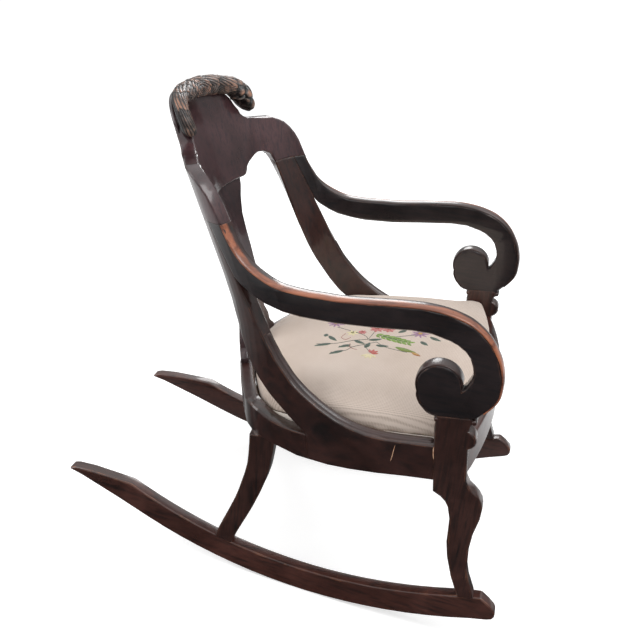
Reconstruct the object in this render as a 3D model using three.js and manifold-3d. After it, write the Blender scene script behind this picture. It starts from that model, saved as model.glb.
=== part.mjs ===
// Gondola rocking chair with scroll arms, a carved crest and a drop-in needlework seat.
//
// The back, arms, seat rails and front legs lie on one upright skin that is U-shaped in
// plan and leans back above the seat. They are drawn flat as one panel, by developed
// length and height, bent round the plan and then sawn apart at the joints.
// Units are millimetres, +Z is up, the sitter faces -Y and the sitter's left is +X.

import * as THREE from 'three';
import { mergeVertices } from 'three/addons/utils/BufferGeometryUtils.js';
import Module from 'manifold-3d';

const wasm = await Module();
wasm.setup();

// Fits and cutting
const jointGap = 0.3;            // between two faces that meet
const halfGap = jointGap / 2;
const seatClearance = 2;         // between the drop-in seat and the rails round it
const overrun = 2;               // how far a cutter passes its work
const weldDistance = 0.0001;     // points closer than this are one point

// Plan of the chair: the outer face of the panel, seen from above
const halfWidth = 270;           // outer face of an arm, from the middle of the chair
const planDivisions = 900;
const planDepth = 550;           // from the front of the scrolls to the back of the seat
const frontSetback = 90;         // the front of the scrolls, ahead of the datum
const planShares = [             // half width and depth, from the front to the middle of the back
  [1, 0], [1, 0.1], [1, 0.2], [1, 0.26], [0.994, 0.4], [0.974, 0.56], [0.941, 0.69],
  [0.881, 0.793], [0.774, 0.858], [0.611, 0.902], [0.437, 0.94], [0.222, 0.977], [0, 0.991],
];

// Lean of the back: none at the seat, then a steady slope above a short curve
const leanSlope = 0.27;
const leanStart = 530;           // height where the back begins to lean
const leanBlend = 120;           // height over which it takes up the slope

// Boards
const boardThickness = 26;
const boardArris = 3;            // rounding of a board's long edges
const curveStep = 4;             // spacing at which a sawn curve is followed
const curveError = 0.6;          // how far its corners may leave it
const bendSearch = 1;            // spacing at which the plan's turn is measured
const bendDegrees = 7;           // turn between the lines on which a board bends
const sawClear = 60;             // a saw line passes this far outside the panel

// Heights above the rockers' lowest point
const postBottom = 305;          // back corner of the post, where the leg begins
const kneeHeight = 336;          // front corner of the post, where the leg begins
const railBottom = 328;
const railTop = 397;
const chamferHeight = 437;       // back of the post, where it steps out to the scroll
const postTop = 456;             // joint between a front leg and its scroll
const armTop = 645;
const armUnderside = 604;
const crotchHeight = 658;        // underside of the arm where it leaves the stile
const seamHeight = 750;          // joint between the crest and the stiles
const rearRailTop = 412;
const rearRailBottom = 354;
const rearJointTop = 383;        // top and bottom of the joint in the seat rail
const rearJointBottom = 330;
const splatTop = 742;

// Developed lengths round the plan, from the middle of the back
const openBack = 150;            // clear of both the splat and the stiles
const seamRear = 183;            // rear edge of a stile at the crest
const seamSplit = 240;           // stile and arm meet here at the crest
const seamFront = 275;           // front edge of an arm at the crest
const crotchLength = 263;
const rearJoint = 362;           // rear rail meets the side frame
const railStraight = 228;        // straight part of the rear rail's lower edge
const armLevel = 513;            // the arm's top is level here
const postRear = 585;            // side frame meets the front leg
const postFront = 640;
const scrollFront = 689;         // foremost point of the scroll

// Scroll and front leg
const scrollRadius = 37.5;
const scrollLength = 591;        // centre of the scroll's eye, developed
const scrollHeight = 512;        // centre of the scroll's eye
const scrollInner = 644;         // inner edge of the scroll's band at its foremost
const scrollInnerHeight = 537;
const scrollFrontHeight = 532;
const neckLength = 650;          // front of the scroll at its joint with the post
const heelSetback = 4;           // back of the scroll at that joint, behind the eye's centre
const bulgeDepth = 14;
const bulgeHalf = 18;
const bulgeHeight = 414;
const beadRadius = 8;
const footLength = 662;          // front of the foot on the rocker
const heelLength = 638;          // back of the foot on the rocker
const footHeight = 58;           // the foot is drawn to here, below the rocker's top

// Crest
const crestRise = 862;           // height where the tablet's sides meet its arch
const archRise = 64;             // from there to the middle of the carved roll
const archHalf = 130;            // half width of the roll's middle line
const archSteps = 28;
const archFullness = 2.4;        // 2 is an ellipse, more is squarer
const shoulderHeight = 839;
const rollSeat = 8;              // the tablet's edge, inside the roll's middle line
const rollInset = 30;            // middle of the roll, inside the panel's outer face
const rollHalfDepth = 20;
const rollHalfHeight = 13;
const rollSides = 14;
const rollSteps = 34;
const volutePath = 52;           // length of the roll that swells into a volute at each end
const voluteHalfDepth = 23;
const voluteHalfHeight = 20;
const voluteOut = 10;            // how far the volute stands outside the roll's line
const voluteForward = 7;
const voluteShares = [           // path and section along a volute
  [0, 0.35], [0.04, 0.68], [0.11, 0.88], [0.22, 0.98], [0.38, 1], [0.5, 1], [0.62, 1], [0.75, 1],
  [0.88, 1],
];

// Slope of the stiles' rear edges
const stileBevel = 19;           // deepest, towards the outer face
const bevelBottom = 480;
const bevelTop = 790;            // the slope would end here
const crestBevelTop = 764;       // it runs out here, under the crest
const bevelReach = 12;
const bevelSteps = 18;

// Splat
const splatHalf = 79;            // at the crest
const splatWaist = 40;
const splatWaistHeight = 610;
const splatBaseHalf = 90;
const splatThickness = 15;
const splatInset = 2;
const splatArris = 1.5;

// Rockers
const rockerRadius = 909;
const rockerHeight = 53;
const rockerThickness = 23;
const rockerArris = 2.5;
const rockerCentre = 186;        // the arc's lowest point, behind the datum
const rockerToe = 81;            // tip of the toe, ahead of the datum
const rockerTail = 786;          // tip of the tail, behind the datum
const rockerTailInset = 64;      // outer face at the tail, inside that at the toe
const tailRun = 142;             // length of the shaped tail
const tipLift = 8;               // tip of the tail, above the top of its root
const toeRidge = 28;             // length and height of the shaped toe
const toeRise = 82;
const toeUnder = 34;
const rockerFacetDegrees = 2.5;
const restTiltDegrees = 7.2;     // how far the empty chair leans back at rest

// Rear legs
const rearLegSteps = 14;
const rearLegThickness = 26;
const rearLegInset = 37;         // outer face, inside that of the arms
const rearLegTopWidth = 51;
const rearLegAnkleWidth = 35;
const rearLegTopReach = 347;     // centre under the rail, behind the datum
const rearLegFootReach = 460;    // centre below the rocker's top, behind the datum
const rearLegTop = 372;          // drawn to here, above the rail's lower edge

// Front rail
const frontRailSetback = 17;     // outer face at the legs, ahead of the datum
const frontRailBow = 34;
const frontRailThickness = 24;
const frontRailBottom = 330;
const frontBeadRadius = 7;
const frontBeadLift = 3;
const bowSteps = 20;

// Drop-in seat
const seatFrameBottom = 371;
const seatFrameHeight = 20;
const seatFrameWidth = 45;
const seatFrameCorner = 228;     // developed length where the side members begin
const seatRim = 21;              // upright edge of the stuffing
const seatCrown = 35;
const seatMiddle = 190;          // deepest padding, behind the datum
const seatStep = 26;
const padShares = [              // distance from the middle and height of the padding
  [0.985, 0.3], [0.95, 0.5], [0.89, 0.66], [0.79, 0.8], [0.66, 0.9], [0.48, 0.965],
  [0.28, 0.99], [0.1, 1],
];
const webbingWidth = 50;
const webbingSpacing = 105;
const webbingThickness = 2;
const webbingMargin = 12;
const dustCoverThickness = 1;
const dustCoverMargin = 14;

// Blocks and fastenings
const blockHeight = 46;
const blockThickness = 22;
const frontBlockReach = 52;
const rearBlockHalf = 25;
const screwRadius = 2.5;
const screwHeadRadius = 5;
const screwHeadHeight = 3;
const screwLength = 62;
const screwRecess = 6;
const frontScrewReach = -31;     // where the screws cross the rocker's top
const rearScrewReach = 453;
const dowelRadius = 4;
const dowelHalf = 18;

// Materials
const surface = (color, roughness, metalness = 0) => () => (
  new THREE.MeshStandardMaterial({ color, roughness, metalness })
);
const mahogany = surface(0x3a1f18, 0.32);
const carvedMahogany = surface(0x4a2c20, 0.4);
const innerWood = surface(0x8a6a48, 0.7);
const needlework = surface(0xd6c6b4, 0.95);
const jute = surface(0xa8875a, 1);
const blackCloth = surface(0x2a2826, 1);
const steel = surface(0x8c8a86, 0.4, 0.9);

// Plan, lean and bow

const point = (length, height) => new THREE.Vector2(length, height);

function planCurve() {
  const side = planShares.map(([across, back]) => [across * halfWidth, back * planDepth - frontSetback]);
  const left = side.map(([x, y]) => new THREE.Vector2(-x, y));
  const right = side.slice(0, -1).reverse().map(([x, y]) => new THREE.Vector2(x, y));
  const curve = new THREE.SplineCurve([...left, ...right]);
  curve.arcLengthDivisions = planDivisions;
  return curve;
}

const plan = planCurve();
const planLength = plan.getLength();
const datumLength = planLength / 2 - frontSetback;

// Developed lengths at which the plan has turned through one more step
function bendLines() {
  const turn = THREE.MathUtils.degToRad(bendDegrees);
  const lines = [0, postRear, -postRear];
  let heading = turn / 2;
  for (let length = 0; length < planLength / 2; length += bendSearch) {
    const along = plan.getTangentAt(0.5 + length / planLength);
    if (Math.abs(Math.atan2(along.y, along.x)) > heading) {
      lines.push(length, -length);
      heading += turn;
    }
  }
  return lines.sort((a, b) => a - b);
}

const bends = bendLines();
const stops = [-planLength / 2, ...bends, planLength / 2];

// Place in plan of a point at a developed length, at a depth inside the outer face;
// every board is flat from one bend line to the next
function planAt(length, inset) {
  const beyond = stops.findIndex((stop) => stop > length);
  const next = beyond < 0 ? stops.length - 1 : Math.max(beyond, 1);
  const [from, to] = [stops[next - 1], stops[next]].map((stop) => {
    const share = 0.5 + stop / planLength;
    const along = plan.getTangentAt(share);
    return plan.getPointAt(share).add(point(along.y, -along.x).multiplyScalar(inset));
  });
  return from.lerp(to, (length - stops[next - 1]) / (stops[next] - stops[next - 1]));
}

function lean(height) {
  const above = height - leanStart;
  if (above <= 0) return 0;
  if (above < leanBlend) return leanSlope * above * above / (leanBlend + leanBlend);
  return leanSlope * (above - leanBlend / 2);
}

function onPanel(length, inset, height) {
  const place = planAt(length, inset);
  return new THREE.Vector3(place.x, place.y + lean(height), height);
}

// Outer face of the bowed front rail, at a distance across the chair
const bowChord = halfWidth - boardThickness;
const bowRadius = (bowChord * bowChord + frontRailBow * frontRailBow) / (frontRailBow + frontRailBow);

function frontFace(x) {
  const rise = Math.sqrt(bowRadius * bowRadius - x * x) - (bowRadius - frontRailBow);
  return -frontRailSetback - rise;
}

// Drawing

function between(from, to, shares) {
  return shares.map(([along, up]) => point(
    THREE.MathUtils.lerp(from.x, to.x, along),
    THREE.MathUtils.lerp(from.y, to.y, up),
  ));
}

function arc(centre, radius, fromDegrees, toDegrees, steps) {
  return Array.from({ length: steps + 1 }, (_, i) => {
    const angle = THREE.MathUtils.degToRad(THREE.MathUtils.lerp(fromDegrees, toDegrees, i / steps));
    return point(centre.x + Math.cos(angle) * radius, centre.y + Math.sin(angle) * radius);
  });
}

// A curve through the given points, kept only to the corners that it needs
function smooth(points) {
  const curve = new THREE.SplineCurve(points);
  const fine = curve.getSpacedPoints(Math.max(2, Math.round(curve.getLength() / curveStep)));
  const kept = [fine[0]];
  let last = 0;
  for (let next = 2; next < fine.length; next += 1) {
    const chord = fine[next].clone().sub(fine[last]);
    const strays = fine.slice(last + 1, next).some((passed) => (
      Math.abs(chord.cross(passed.clone().sub(fine[last]))) > curveError * chord.length()
    ));
    if (strays) {
      last = next - 1;
      kept.push(fine[last]);
    }
  }
  return [...kept, fine[fine.length - 1]];
}

function joined(...strokes) {
  const points = [];
  for (const next of strokes.flat()) {
    const last = points[points.length - 1];
    if (!last || last.distanceTo(next) > jointGap) points.push(next);
  }
  if (points[0].distanceTo(points[points.length - 1]) < jointGap) points.pop();
  return points;
}

const shifted = (points, along, up = 0) => points.map(({ x, y }) => point(x + along, y + up));
const flipped = (points) => points.map(({ x, y }) => point(-x, y)).reverse();
const bothSides = (half) => joined(half, flipped(half));

// A line midway between two strokes that start at the same corner
function midway(one, other, shares) {
  const at = (stroke, share) => stroke[Math.round(share * (stroke.length - 1))];
  return shares.map((share) => at(one, share).clone().lerp(at(other, share), 0.5));
}

// Solids

function corners(geometry) {
  const flat = geometry.index ? geometry.toNonIndexed() : geometry;
  const position = flat.getAttribute('position');
  return Array.from({ length: position.count / 3 }, (_, i) => (
    [0, 1, 2].map((k) => new THREE.Vector3().fromBufferAttribute(position, i * 3 + k))
  ));
}

function fromTriangles(triangles) {
  const volume = triangles.reduce((sum, [a, b, c]) => sum + a.dot(b.clone().cross(c)), 0);
  const outward = volume < 0 ? triangles.map(([a, b, c]) => [a, c, b]) : triangles;
  const merged = mergeVertices(new THREE.BufferGeometry().setFromPoints(outward.flat()), weldDistance);
  merged.computeVertexNormals();
  return merged;
}

function toSolid(geometry) {
  const plain = new THREE.BufferGeometry();
  plain.setAttribute('position', geometry.getAttribute('position'));
  plain.setIndex(geometry.index);
  const merged = mergeVertices(plain, weldDistance);
  return new wasm.Manifold(new wasm.Mesh({
    numProp: 3,
    vertProperties: new Float32Array(merged.getAttribute('position').array),
    triVerts: new Uint32Array(merged.index.array),
  }));
}

function fromSolid(solid) {
  const mesh = solid.getMesh();
  const geometry = new THREE.BufferGeometry();
  geometry.setAttribute('position', new THREE.Float32BufferAttribute(mesh.vertProperties, 3));
  geometry.setIndex(new THREE.Uint32BufferAttribute(mesh.triVerts, 1));
  geometry.computeVertexNormals();
  return geometry;
}

function cut(geometry, ...cutters) {
  const solid = cutters.map(toSolid).reduce((rest, cutter) => rest.subtract(cutter), toSolid(geometry));
  return fromSolid(solid);
}

function common(geometry, other) {
  return fromSolid(toSolid(geometry).intersect(toSolid(other)));
}

function united(...geometries) {
  return fromSolid(geometries.map(toSolid).reduce((sum, solid) => sum.add(solid)));
}

// Divides every triangle that crosses a plane square to one axis
function scored(triangles, axis, station) {
  const side = (corner) => {
    const distance = corner.getComponent(axis) - station;
    return Math.abs(distance) < weldDistance ? 0 : distance;
  };
  return triangles.flatMap((triangle) => {
    const sides = triangle.map(side);
    if (Math.min(...sides) >= 0 || Math.max(...sides) <= 0) return [triangle];
    const above = [];
    const below = [];
    triangle.forEach((corner, i) => {
      const next = (i + 1) % 3;
      if (sides[i] >= 0) above.push(corner);
      if (sides[i] <= 0) below.push(corner);
      if (sides[i] * sides[next] < 0) {
        const crossing = corner.clone().lerp(triangle[next], sides[i] / (sides[i] - sides[next]));
        above.push(crossing);
        below.push(crossing);
      }
    });
    return [above, below].flatMap((part) => (
      part.length === 4 ? [[part[0], part[1], part[2]], [part[0], part[2], part[3]]] : [part]
    ));
  });
}

// A flat board in the XY plane with its back on z = 0
function flatBoard(outline, thickness, arris = 0, holes = []) {
  const shape = new THREE.Shape(outline);
  shape.holes = holes.map((hole) => new THREE.Path(hole));
  const geometry = new THREE.ExtrudeGeometry(shape, {
    depth: thickness - arris - arris,
    bevelEnabled: arris > 0,
    bevelThickness: arris,
    bevelSize: arris,
    bevelOffset: -arris,
    bevelSegments: 1,
  });
  geometry.translate(0, 0, arris);
  return corners(geometry);
}

// The flat face inside directed edges, triangulated in strips between the bend lines
function faceInStrips(edges) {
  const key = ({ x, y }) => `${x.toFixed(3)} ${y.toFixed(3)}`;
  const pieces = bends.reduce((parts, bend) => parts.flatMap(([from, to]) => {
    if ((from.x - bend) * (to.x - bend) >= 0) return [[from, to]];
    const crossing = from.clone().lerp(to, (bend - from.x) / (to.x - from.x)).setX(bend);
    return [[from, crossing], [crossing, to]];
  }), edges);
  const sides = [-Infinity, ...bends, Infinity];
  return sides.slice(1).flatMap((right, i) => {
    const left = sides[i];
    const inStrip = pieces.filter(([from, to]) => {
      const centre = (from.x + to.x) / 2;
      return centre > left && centre < right;
    });
    const closing = [left, right].flatMap((line) => {
      const heights = new Map(inStrip.flat().filter(({ x }) => Math.abs(x - line) < weldDistance)
        .map((corner) => [key(corner), corner]));
      const sorted = [...heights.values()].sort((a, b) => a.y - b.y);
      return Array.from({ length: sorted.length / 2 }, (_, k) => {
        const pair = [sorted[k + k], sorted[k + k + 1]];
        return line === left ? pair.reverse() : pair;
      });
    });
    const after = new Map([...inStrip, ...closing].map(([from, to]) => [key(from), to]));
    const triangles = [];
    while (after.size > 0) {
      const [begin, first] = after.entries().next().value;
      const loop = [];
      let corner = first;
      after.delete(begin);
      while (corner) {
        loop.push(corner);
        const step = after.get(key(corner));
        after.delete(key(corner));
        corner = step;
      }
      const trios = THREE.ShapeUtils.triangulateShape(loop, []);
      triangles.push(...trios.map((trio) => trio.map((k) => loop[k])));
    }
    return triangles;
  });
}

// Directed edges that only one triangle has
function rimOf(triangles) {
  const key = (corner) => corner.toArray().map((value) => value.toFixed(3)).join(' ');
  const edges = new Map();
  for (const triangle of triangles) {
    triangle.forEach((from, i) => {
      const to = triangle[(i + 1) % 3];
      const back = `${key(to)} ${key(from)}`;
      if (edges.has(back)) edges.delete(back);
      else edges.set(`${key(from)} ${key(to)}`, [from, to]);
    });
  }
  return [...edges.values()];
}

// A board drawn by developed length and height, bent round the plan and leaned back
function bentBoard(outline, thickness, inset, arris = 0, holes = []) {
  const flat = flatBoard(outline, thickness, arris, holes);
  const level = (triangle, height) => triangle.every(({ z }) => Math.abs(z - height) < weldDistance);
  const front = rimOf(flat.filter((triangle) => level(triangle, thickness)));
  const face = faceInStrips(front.map((edge) => edge.map(({ x, y }) => point(x, y))));
  const lift = (triangle, height) => triangle.map(({ x, y }) => new THREE.Vector3(x, y, height));
  let edge = flat.filter((triangle) => !level(triangle, thickness) && !level(triangle, 0));
  for (const bend of bends) edge = scored(edge, 0, bend);
  let triangles = [
    ...edge,
    ...face.map((triangle) => lift(triangle, thickness)),
    ...face.map((triangle) => lift([...triangle].reverse(), 0)),
  ];
  for (let rise = 0; rise <= leanBlend; rise += leanBlend / 3) {
    triangles = scored(triangles, 1, leanStart + rise);
  }
  return fromTriangles(triangles.map((triangle) => (
    triangle.map(({ x, y, z }) => onPanel(x, inset + z, y))
  )));
}

function mirrored(geometry) {
  return fromTriangles(corners(geometry).map((triangle) => (
    triangle.map(({ x, y, z }) => new THREE.Vector3(-x, y, z))
  )));
}

// A closed skin over rings of points, each ring with as many points, capped at both ends
function loft(rings) {
  const middle = (ring) => (
    ring.reduce((sum, corner) => sum.add(corner), new THREE.Vector3()).divideScalar(ring.length)
  );
  const sides = rings[0].length;
  const last = rings.length - 1;
  const first = middle(rings[0]);
  const end = middle(rings[last]);
  const triangles = [];
  for (let i = 0; i < sides; i += 1) {
    const next = (i + 1) % sides;
    triangles.push([first, rings[0][next], rings[0][i]], [end, rings[last][i], rings[last][next]]);
    for (let ring = 0; ring < last; ring += 1) {
      const low = rings[ring];
      const high = rings[ring + 1];
      triangles.push([low[i], low[next], high[i]], [low[next], high[next], high[i]]);
    }
  }
  return fromTriangles(triangles);
}

function rod(from, to, radius, sides = 8) {
  const axis = new THREE.Vector3().subVectors(to, from);
  const upright = new THREE.Vector3(0, 1, 0);
  const turn = new THREE.Quaternion().setFromUnitVectors(upright, axis.clone().normalize());
  const geometry = new THREE.CylinderGeometry(radius, radius, axis.length(), sides);
  geometry.applyQuaternion(turn);
  geometry.translate((from.x + to.x) / 2, (from.y + to.y) / 2, (from.z + to.z) / 2);
  return fromTriangles(corners(geometry));
}

// A slab with a given plan
function slab(outline, bottom, height) {
  return fromTriangles(flatBoard(outline, height).map((triangle) => (
    triangle.map(({ x, y, z }) => new THREE.Vector3(x, y, bottom + z))
  )));
}

const chair = new THREE.Group();
chair.name = 'rocking_chair';

function add(name, geometry, material) {
  const mesh = new THREE.Mesh(geometry, material());
  mesh.name = name;
  chair.add(mesh);
}

function addPair(name, geometry, material) {
  add(`${name}_left`, geometry, material);
  add(`${name}_right`, mirrored(geometry), material);
}

// Rockers

// Height of the rockers' arc, or of a line above it, at a distance behind the datum
function rockerArc(reach, rise = 0) {
  const radius = rockerRadius - rise;
  const back = reach - rockerCentre;
  return rockerRadius - Math.sqrt(radius * radius - back * back);
}

// The underside is a run of short flats, one of them level when the chair is at rest
function rockerUnderside(from, to) {
  const first = restTiltDegrees - rockerFacetDegrees / 2;
  const steps = (reach) => {
    const degrees = THREE.MathUtils.radToDeg(Math.asin((reach - rockerCentre) / rockerRadius));
    return (degrees - first) / rockerFacetDegrees;
  };
  const points = [];
  for (let step = Math.ceil(steps(from)); step <= steps(to); step += 1) {
    const angle = THREE.MathUtils.degToRad(first + step * rockerFacetDegrees);
    points.push(point(
      rockerCentre + Math.sin(angle) * rockerRadius,
      rockerRadius - Math.cos(angle) * rockerRadius,
    ));
  }
  return points;
}

function rockerOutline() {
  const tailRoot = rockerTail - tailRun;
  const tipHeight = rockerArc(tailRoot, rockerHeight) + tipLift;
  const underTail = smooth(between(
    point(tailRoot, rockerArc(tailRoot)),
    point(rockerTail, tipHeight),
    [[0.24, 0.26], [0.54, 0.58], [0.85, 0.89], [1, 1]],
  ));
  const overTail = smooth(between(
    point(rockerTail, tipHeight),
    point(tailRoot, rockerArc(tailRoot, rockerHeight)),
    [[0, -0.4], [0.03, -0.8], [0.1, -1], [0.25, -0.95], [0.45, -0.6], [0.65, 0], [0.85, 0.6], [1, 1]],
  ));
  const top = Array.from({ length: 25 }, (_, i) => {
    const reach = THREE.MathUtils.lerp(tailRoot - toeRidge, toeRidge + toeRidge - rockerToe, i / 24);
    return point(reach, rockerArc(reach, rockerHeight));
  });
  const toe = smooth(between(
    point(toeRidge - rockerToe, toeRise),
    point(-rockerToe, toeUnder),
    [[0, 0], [0.18, 0.03], [0.5, 0.2], [0.83, 0.42], [0.97, 0.55], [1, 0.68], [0.94, 0.85],
      [0.75, 0.97], [0.4, 1.03]],
  ));
  const bottom = rockerUnderside(toeRidge - rockerToe, tailRoot);
  return joined(toe, bottom, underTail, overTail, top);
}

// From the rocker's own outline to its place: upright, and closing in towards the tail
function placedRocker(outline, thickness, outside, arris = 0) {
  const closing = rockerTailInset / (rockerToe + rockerTail);
  return fromTriangles(flatBoard(outline, thickness, arris).map((triangle) => (
    triangle.map(({ x, y, z }) => new THREE.Vector3(
      halfWidth + outside - (x + rockerToe) * closing - thickness + z,
      x,
      y,
    ))
  )));
}

const rockerLine = rockerOutline();
const rockerBoard = placedRocker(rockerLine, rockerThickness, 0, rockerArris);
const rockerSeat = placedRocker(shifted(rockerLine, 0, jointGap), halfWidth, halfWidth / 2);

// The panel: outer outline of one half, from the middle of the rear rail round to the crest

const rearRailUnder = smooth(between(
  point(railStraight, rearRailBottom),
  point(rearJoint, rearJointBottom),
  [[0, 0], [0.22, 0.08], [0.43, 0.29], [0.61, 0.565], [0.79, 0.8], [0.9, 0.92], [1, 1]],
));
const sideRailUnder = smooth(between(
  point(rearJoint, rearJointBottom),
  point(postRear, railBottom),
  [[0, 0], [0.12, 2], [0.2, 2.6], [0.3, 3], [0.45, 2.5], [0.56, 1.9], [0.71, 1.2], [1, 1]],
));
const legRear = smooth(between(
  point(postRear, postBottom),
  point(heelLength, footHeight),
  [[0, 0], [0.26, 0.04], [0.45, 0.095], [0.53, 0.17], [0.55, 0.25], [0.49, 0.38], [0.49, 0.49],
    [0.55, 0.61], [0.66, 0.735], [0.8, 0.85], [1, 1]],
));
const legFront = smooth(between(
  point(footLength, footHeight),
  point(postFront, kneeHeight),
  [[-0.05, 0], [0.05, 0.09], [0.29, 0.155], [0.52, 0.225], [0.67, 0.31], [0.64, 0.4], [0.6, 0.46],
    [0.46, 0.54], [0.27, 0.61], [-0.1, 0.7], [-0.3, 0.79], [-0.23, 0.845], [0.1, 0.895], [0.52, 0.93],
    [0.8, 0.955], [1, 1]],
));
const bulgeRadius = (bulgeHalf * bulgeHalf + bulgeDepth * bulgeDepth) / (bulgeDepth + bulgeDepth);
const bulgeArc = arc(point(postFront + bulgeDepth - bulgeRadius, bulgeHeight), bulgeRadius, -74, 74, 7);
const beadArc = arc(point(postFront, postTop - beadRadius), beadRadius, -62, 50, 4);
const scrollOuter = smooth(between(
  point(neckLength, postTop),
  point(scrollFront, scrollFrontHeight),
  [[0, 0], [0.33, 0.145], [0.67, 0.33], [0.885, 0.515], [0.97, 0.73], [1, 1]],
));
const armOver = smooth(between(
  point(scrollFront, scrollFrontHeight),
  point(armLevel, armTop),
  [[0, 0], [0.02, 0.23], [0.05, 0.38], [0.085, 0.515], [0.13, 0.63], [0.195, 0.745], [0.28, 0.84],
    [0.42, 0.93], [0.59, 0.985], [0.77, 1], [1, 1]],
));
const armRise = smooth(between(
  point(armLevel, armTop),
  point(seamFront, seamHeight),
  [[0, 0], [0.25, -0.01], [0.4, 0.01], [0.54, 0.03], [0.68, 0.075], [0.75, 0.125], [0.82, 0.215],
    [0.89, 0.335], [0.945, 0.485], [0.975, 0.66], [0.995, 0.87], [1, 1]],
));
const shoulder = smooth(between(
  point(seamFront, seamHeight),
  point(seamRear, shoulderHeight),
  [[0, 0], [0.03, 0.27], [0.07, 0.45], [0.155, 0.62], [0.28, 0.765], [0.44, 0.87], [0.65, 0.945],
    [0.86, 0.98], [1.1, 1], [1.2, 1.01]],
));
const tabletSide = smooth(between(
  point(seamRear, shoulderHeight),
  point(archHalf, crestRise),
  [[0.31, 0.02], [0.69, 0.22], [0.96, 0.565], [1.03, 1]],
));

// The arch that the carved roll follows, or a line inside it
function archAt(degrees, inside = 0) {
  const angle = THREE.MathUtils.degToRad(degrees);
  const power = 2 / archFullness;
  const across = Math.sign(Math.cos(angle)) * Math.abs(Math.cos(angle)) ** power;
  const up = Math.sign(Math.sin(angle)) * Math.abs(Math.sin(angle)) ** power;
  return point(across * (archHalf - inside), crestRise + up * (archRise - inside));
}

const arch = (inside, from, to, steps) => Array.from({ length: steps + 1 }, (_, i) => (
  archAt(THREE.MathUtils.lerp(from, to, i / steps), inside)
));

const panelHalf = joined(
  [point(0, rearRailBottom)], rearRailUnder, sideRailUnder, legRear, legFront, bulgeArc, beadArc,
  scrollOuter, armOver, armRise, shoulder, tabletSide, arch(rollSeat, 8, 90, 8),
);

// Opening between the stiles, one half from the crest down to the rear rail
const crestUnder = smooth(between(
  point(splatHalf, splatTop),
  point(seamRear, seamHeight),
  [[0.04, 0], [0.1, 0.15], [0.155, 0.75], [0.22, 2], [0.32, 2.85], [0.43, 3.5], [0.615, 4.3],
    [0.77, 4.1], [0.86, 3.7], [0.94, 3.1], [0.99, 2.1], [1, 1]],
));
const stileRear = smooth(between(
  point(seamRear, seamHeight),
  point(rearJoint, rearJointTop),
  [[0, 0], [0.015, 0.12], [0.03, 0.225], [0.06, 0.35], [0.12, 0.45], [0.19, 0.53], [0.285, 0.605],
    [0.39, 0.677], [0.5, 0.747], [0.61, 0.815], [0.71, 0.865], [0.82, 0.915], [1, 1]],
));
const rearRailOver = smooth(between(
  point(rearJoint, rearJointTop),
  point(railStraight, rearRailTop),
  [[0, 0], [0.28, 0.16], [0.48, 0.39], [0.67, 0.73], [0.86, 0.97], [1, 1]],
));
const backOpening = bothSides(joined(
  [point(0, splatTop)], crestUnder, stileRear, rearRailOver, [point(0, rearRailTop)],
));

// Opening under an arm, from the crotch forward and back
const armUnder = smooth(between(
  point(crotchLength, crotchHeight),
  point(scrollLength - scrollRadius, armUnderside),
  [[0, 0], [0.02, 0.15], [0.06, 0.33], [0.105, 0.495], [0.155, 0.65], [0.225, 0.78], [0.33, 0.915],
    [0.44, 0.98], [0.57, 1.02], [0.75, 1.025], [1, 1]],
));
const scrollUnder = smooth(between(
  point(scrollLength - scrollRadius, armUnderside),
  point(scrollInner, scrollInnerHeight),
  [[0, 0], [0.2, 0.02], [0.38, 0.06], [0.55, 0.145], [0.72, 0.25], [0.86, 0.41], [0.945, 0.58],
    [0.985, 0.77], [1, 1]],
));
const eyeArc = arc(point(scrollLength, scrollHeight), scrollRadius, -10, 200, 14);
const scrollSlot = smooth(between(
  point(scrollInner, scrollInnerHeight),
  eyeArc[0],
  [[0, 0], [0.1, 0.25], [0.28, 0.48], [0.62, 0.78], [1, 1]],
));
const scrollHeel = smooth(between(
  eyeArc[eyeArc.length - 1],
  point(scrollLength - heelSetback, postTop),
  [[0, 0], [-0.03, 0.16], [0.01, 0.3], [0.115, 0.5], [0.28, 0.665], [0.45, 0.82], [0.66, 0.93], [1, 1]],
));
const postChamfer = between(
  point(scrollLength - heelSetback, postTop),
  point(postRear, chamferHeight),
  [[0, 0.5], [1, 1]],
);
const stileFront = smooth(between(
  point(postRear, railTop),
  point(crotchLength, crotchHeight),
  [[0, 0], [0.165, 0], [0.27, 0.005], [0.38, 0.025], [0.49, 0.07], [0.565, 0.12], [0.65, 0.195],
    [0.73, 0.285], [0.8, 0.39], [0.86, 0.5], [0.907, 0.62], [0.942, 0.735], [0.972, 0.86], [1, 1]],
));
const armOpening = joined(armUnder, scrollUnder, scrollSlot, eyeArc, scrollHeel, postChamfer, stileFront);

const panel = bentBoard(
  bothSides(panelHalf), boardThickness, 0, boardArris,
  [backOpening, armOpening, flipped(armOpening)],
);

// Saw lines between the pieces of the panel

const stileJoint = smooth(between(
  point(crotchLength, crotchHeight),
  point(seamSplit, seamHeight),
  [[0, 0], [0.48, 0.455], [1, 1]],
));
const throughArm = midway(armUnder, [...stileFront].reverse(), [0.15, 0.3, 0.5, 0.7, 0.85]);
const throughBack = midway([...stileRear].reverse(), rearRailOver, [0.15, 0.3, 0.5]);
const throughPost = point(scrollLength - scrollRadius / 2, postTop);
const belowRails = rearJointBottom - sawClear;
const aheadOfScroll = scrollFront + sawClear;

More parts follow.
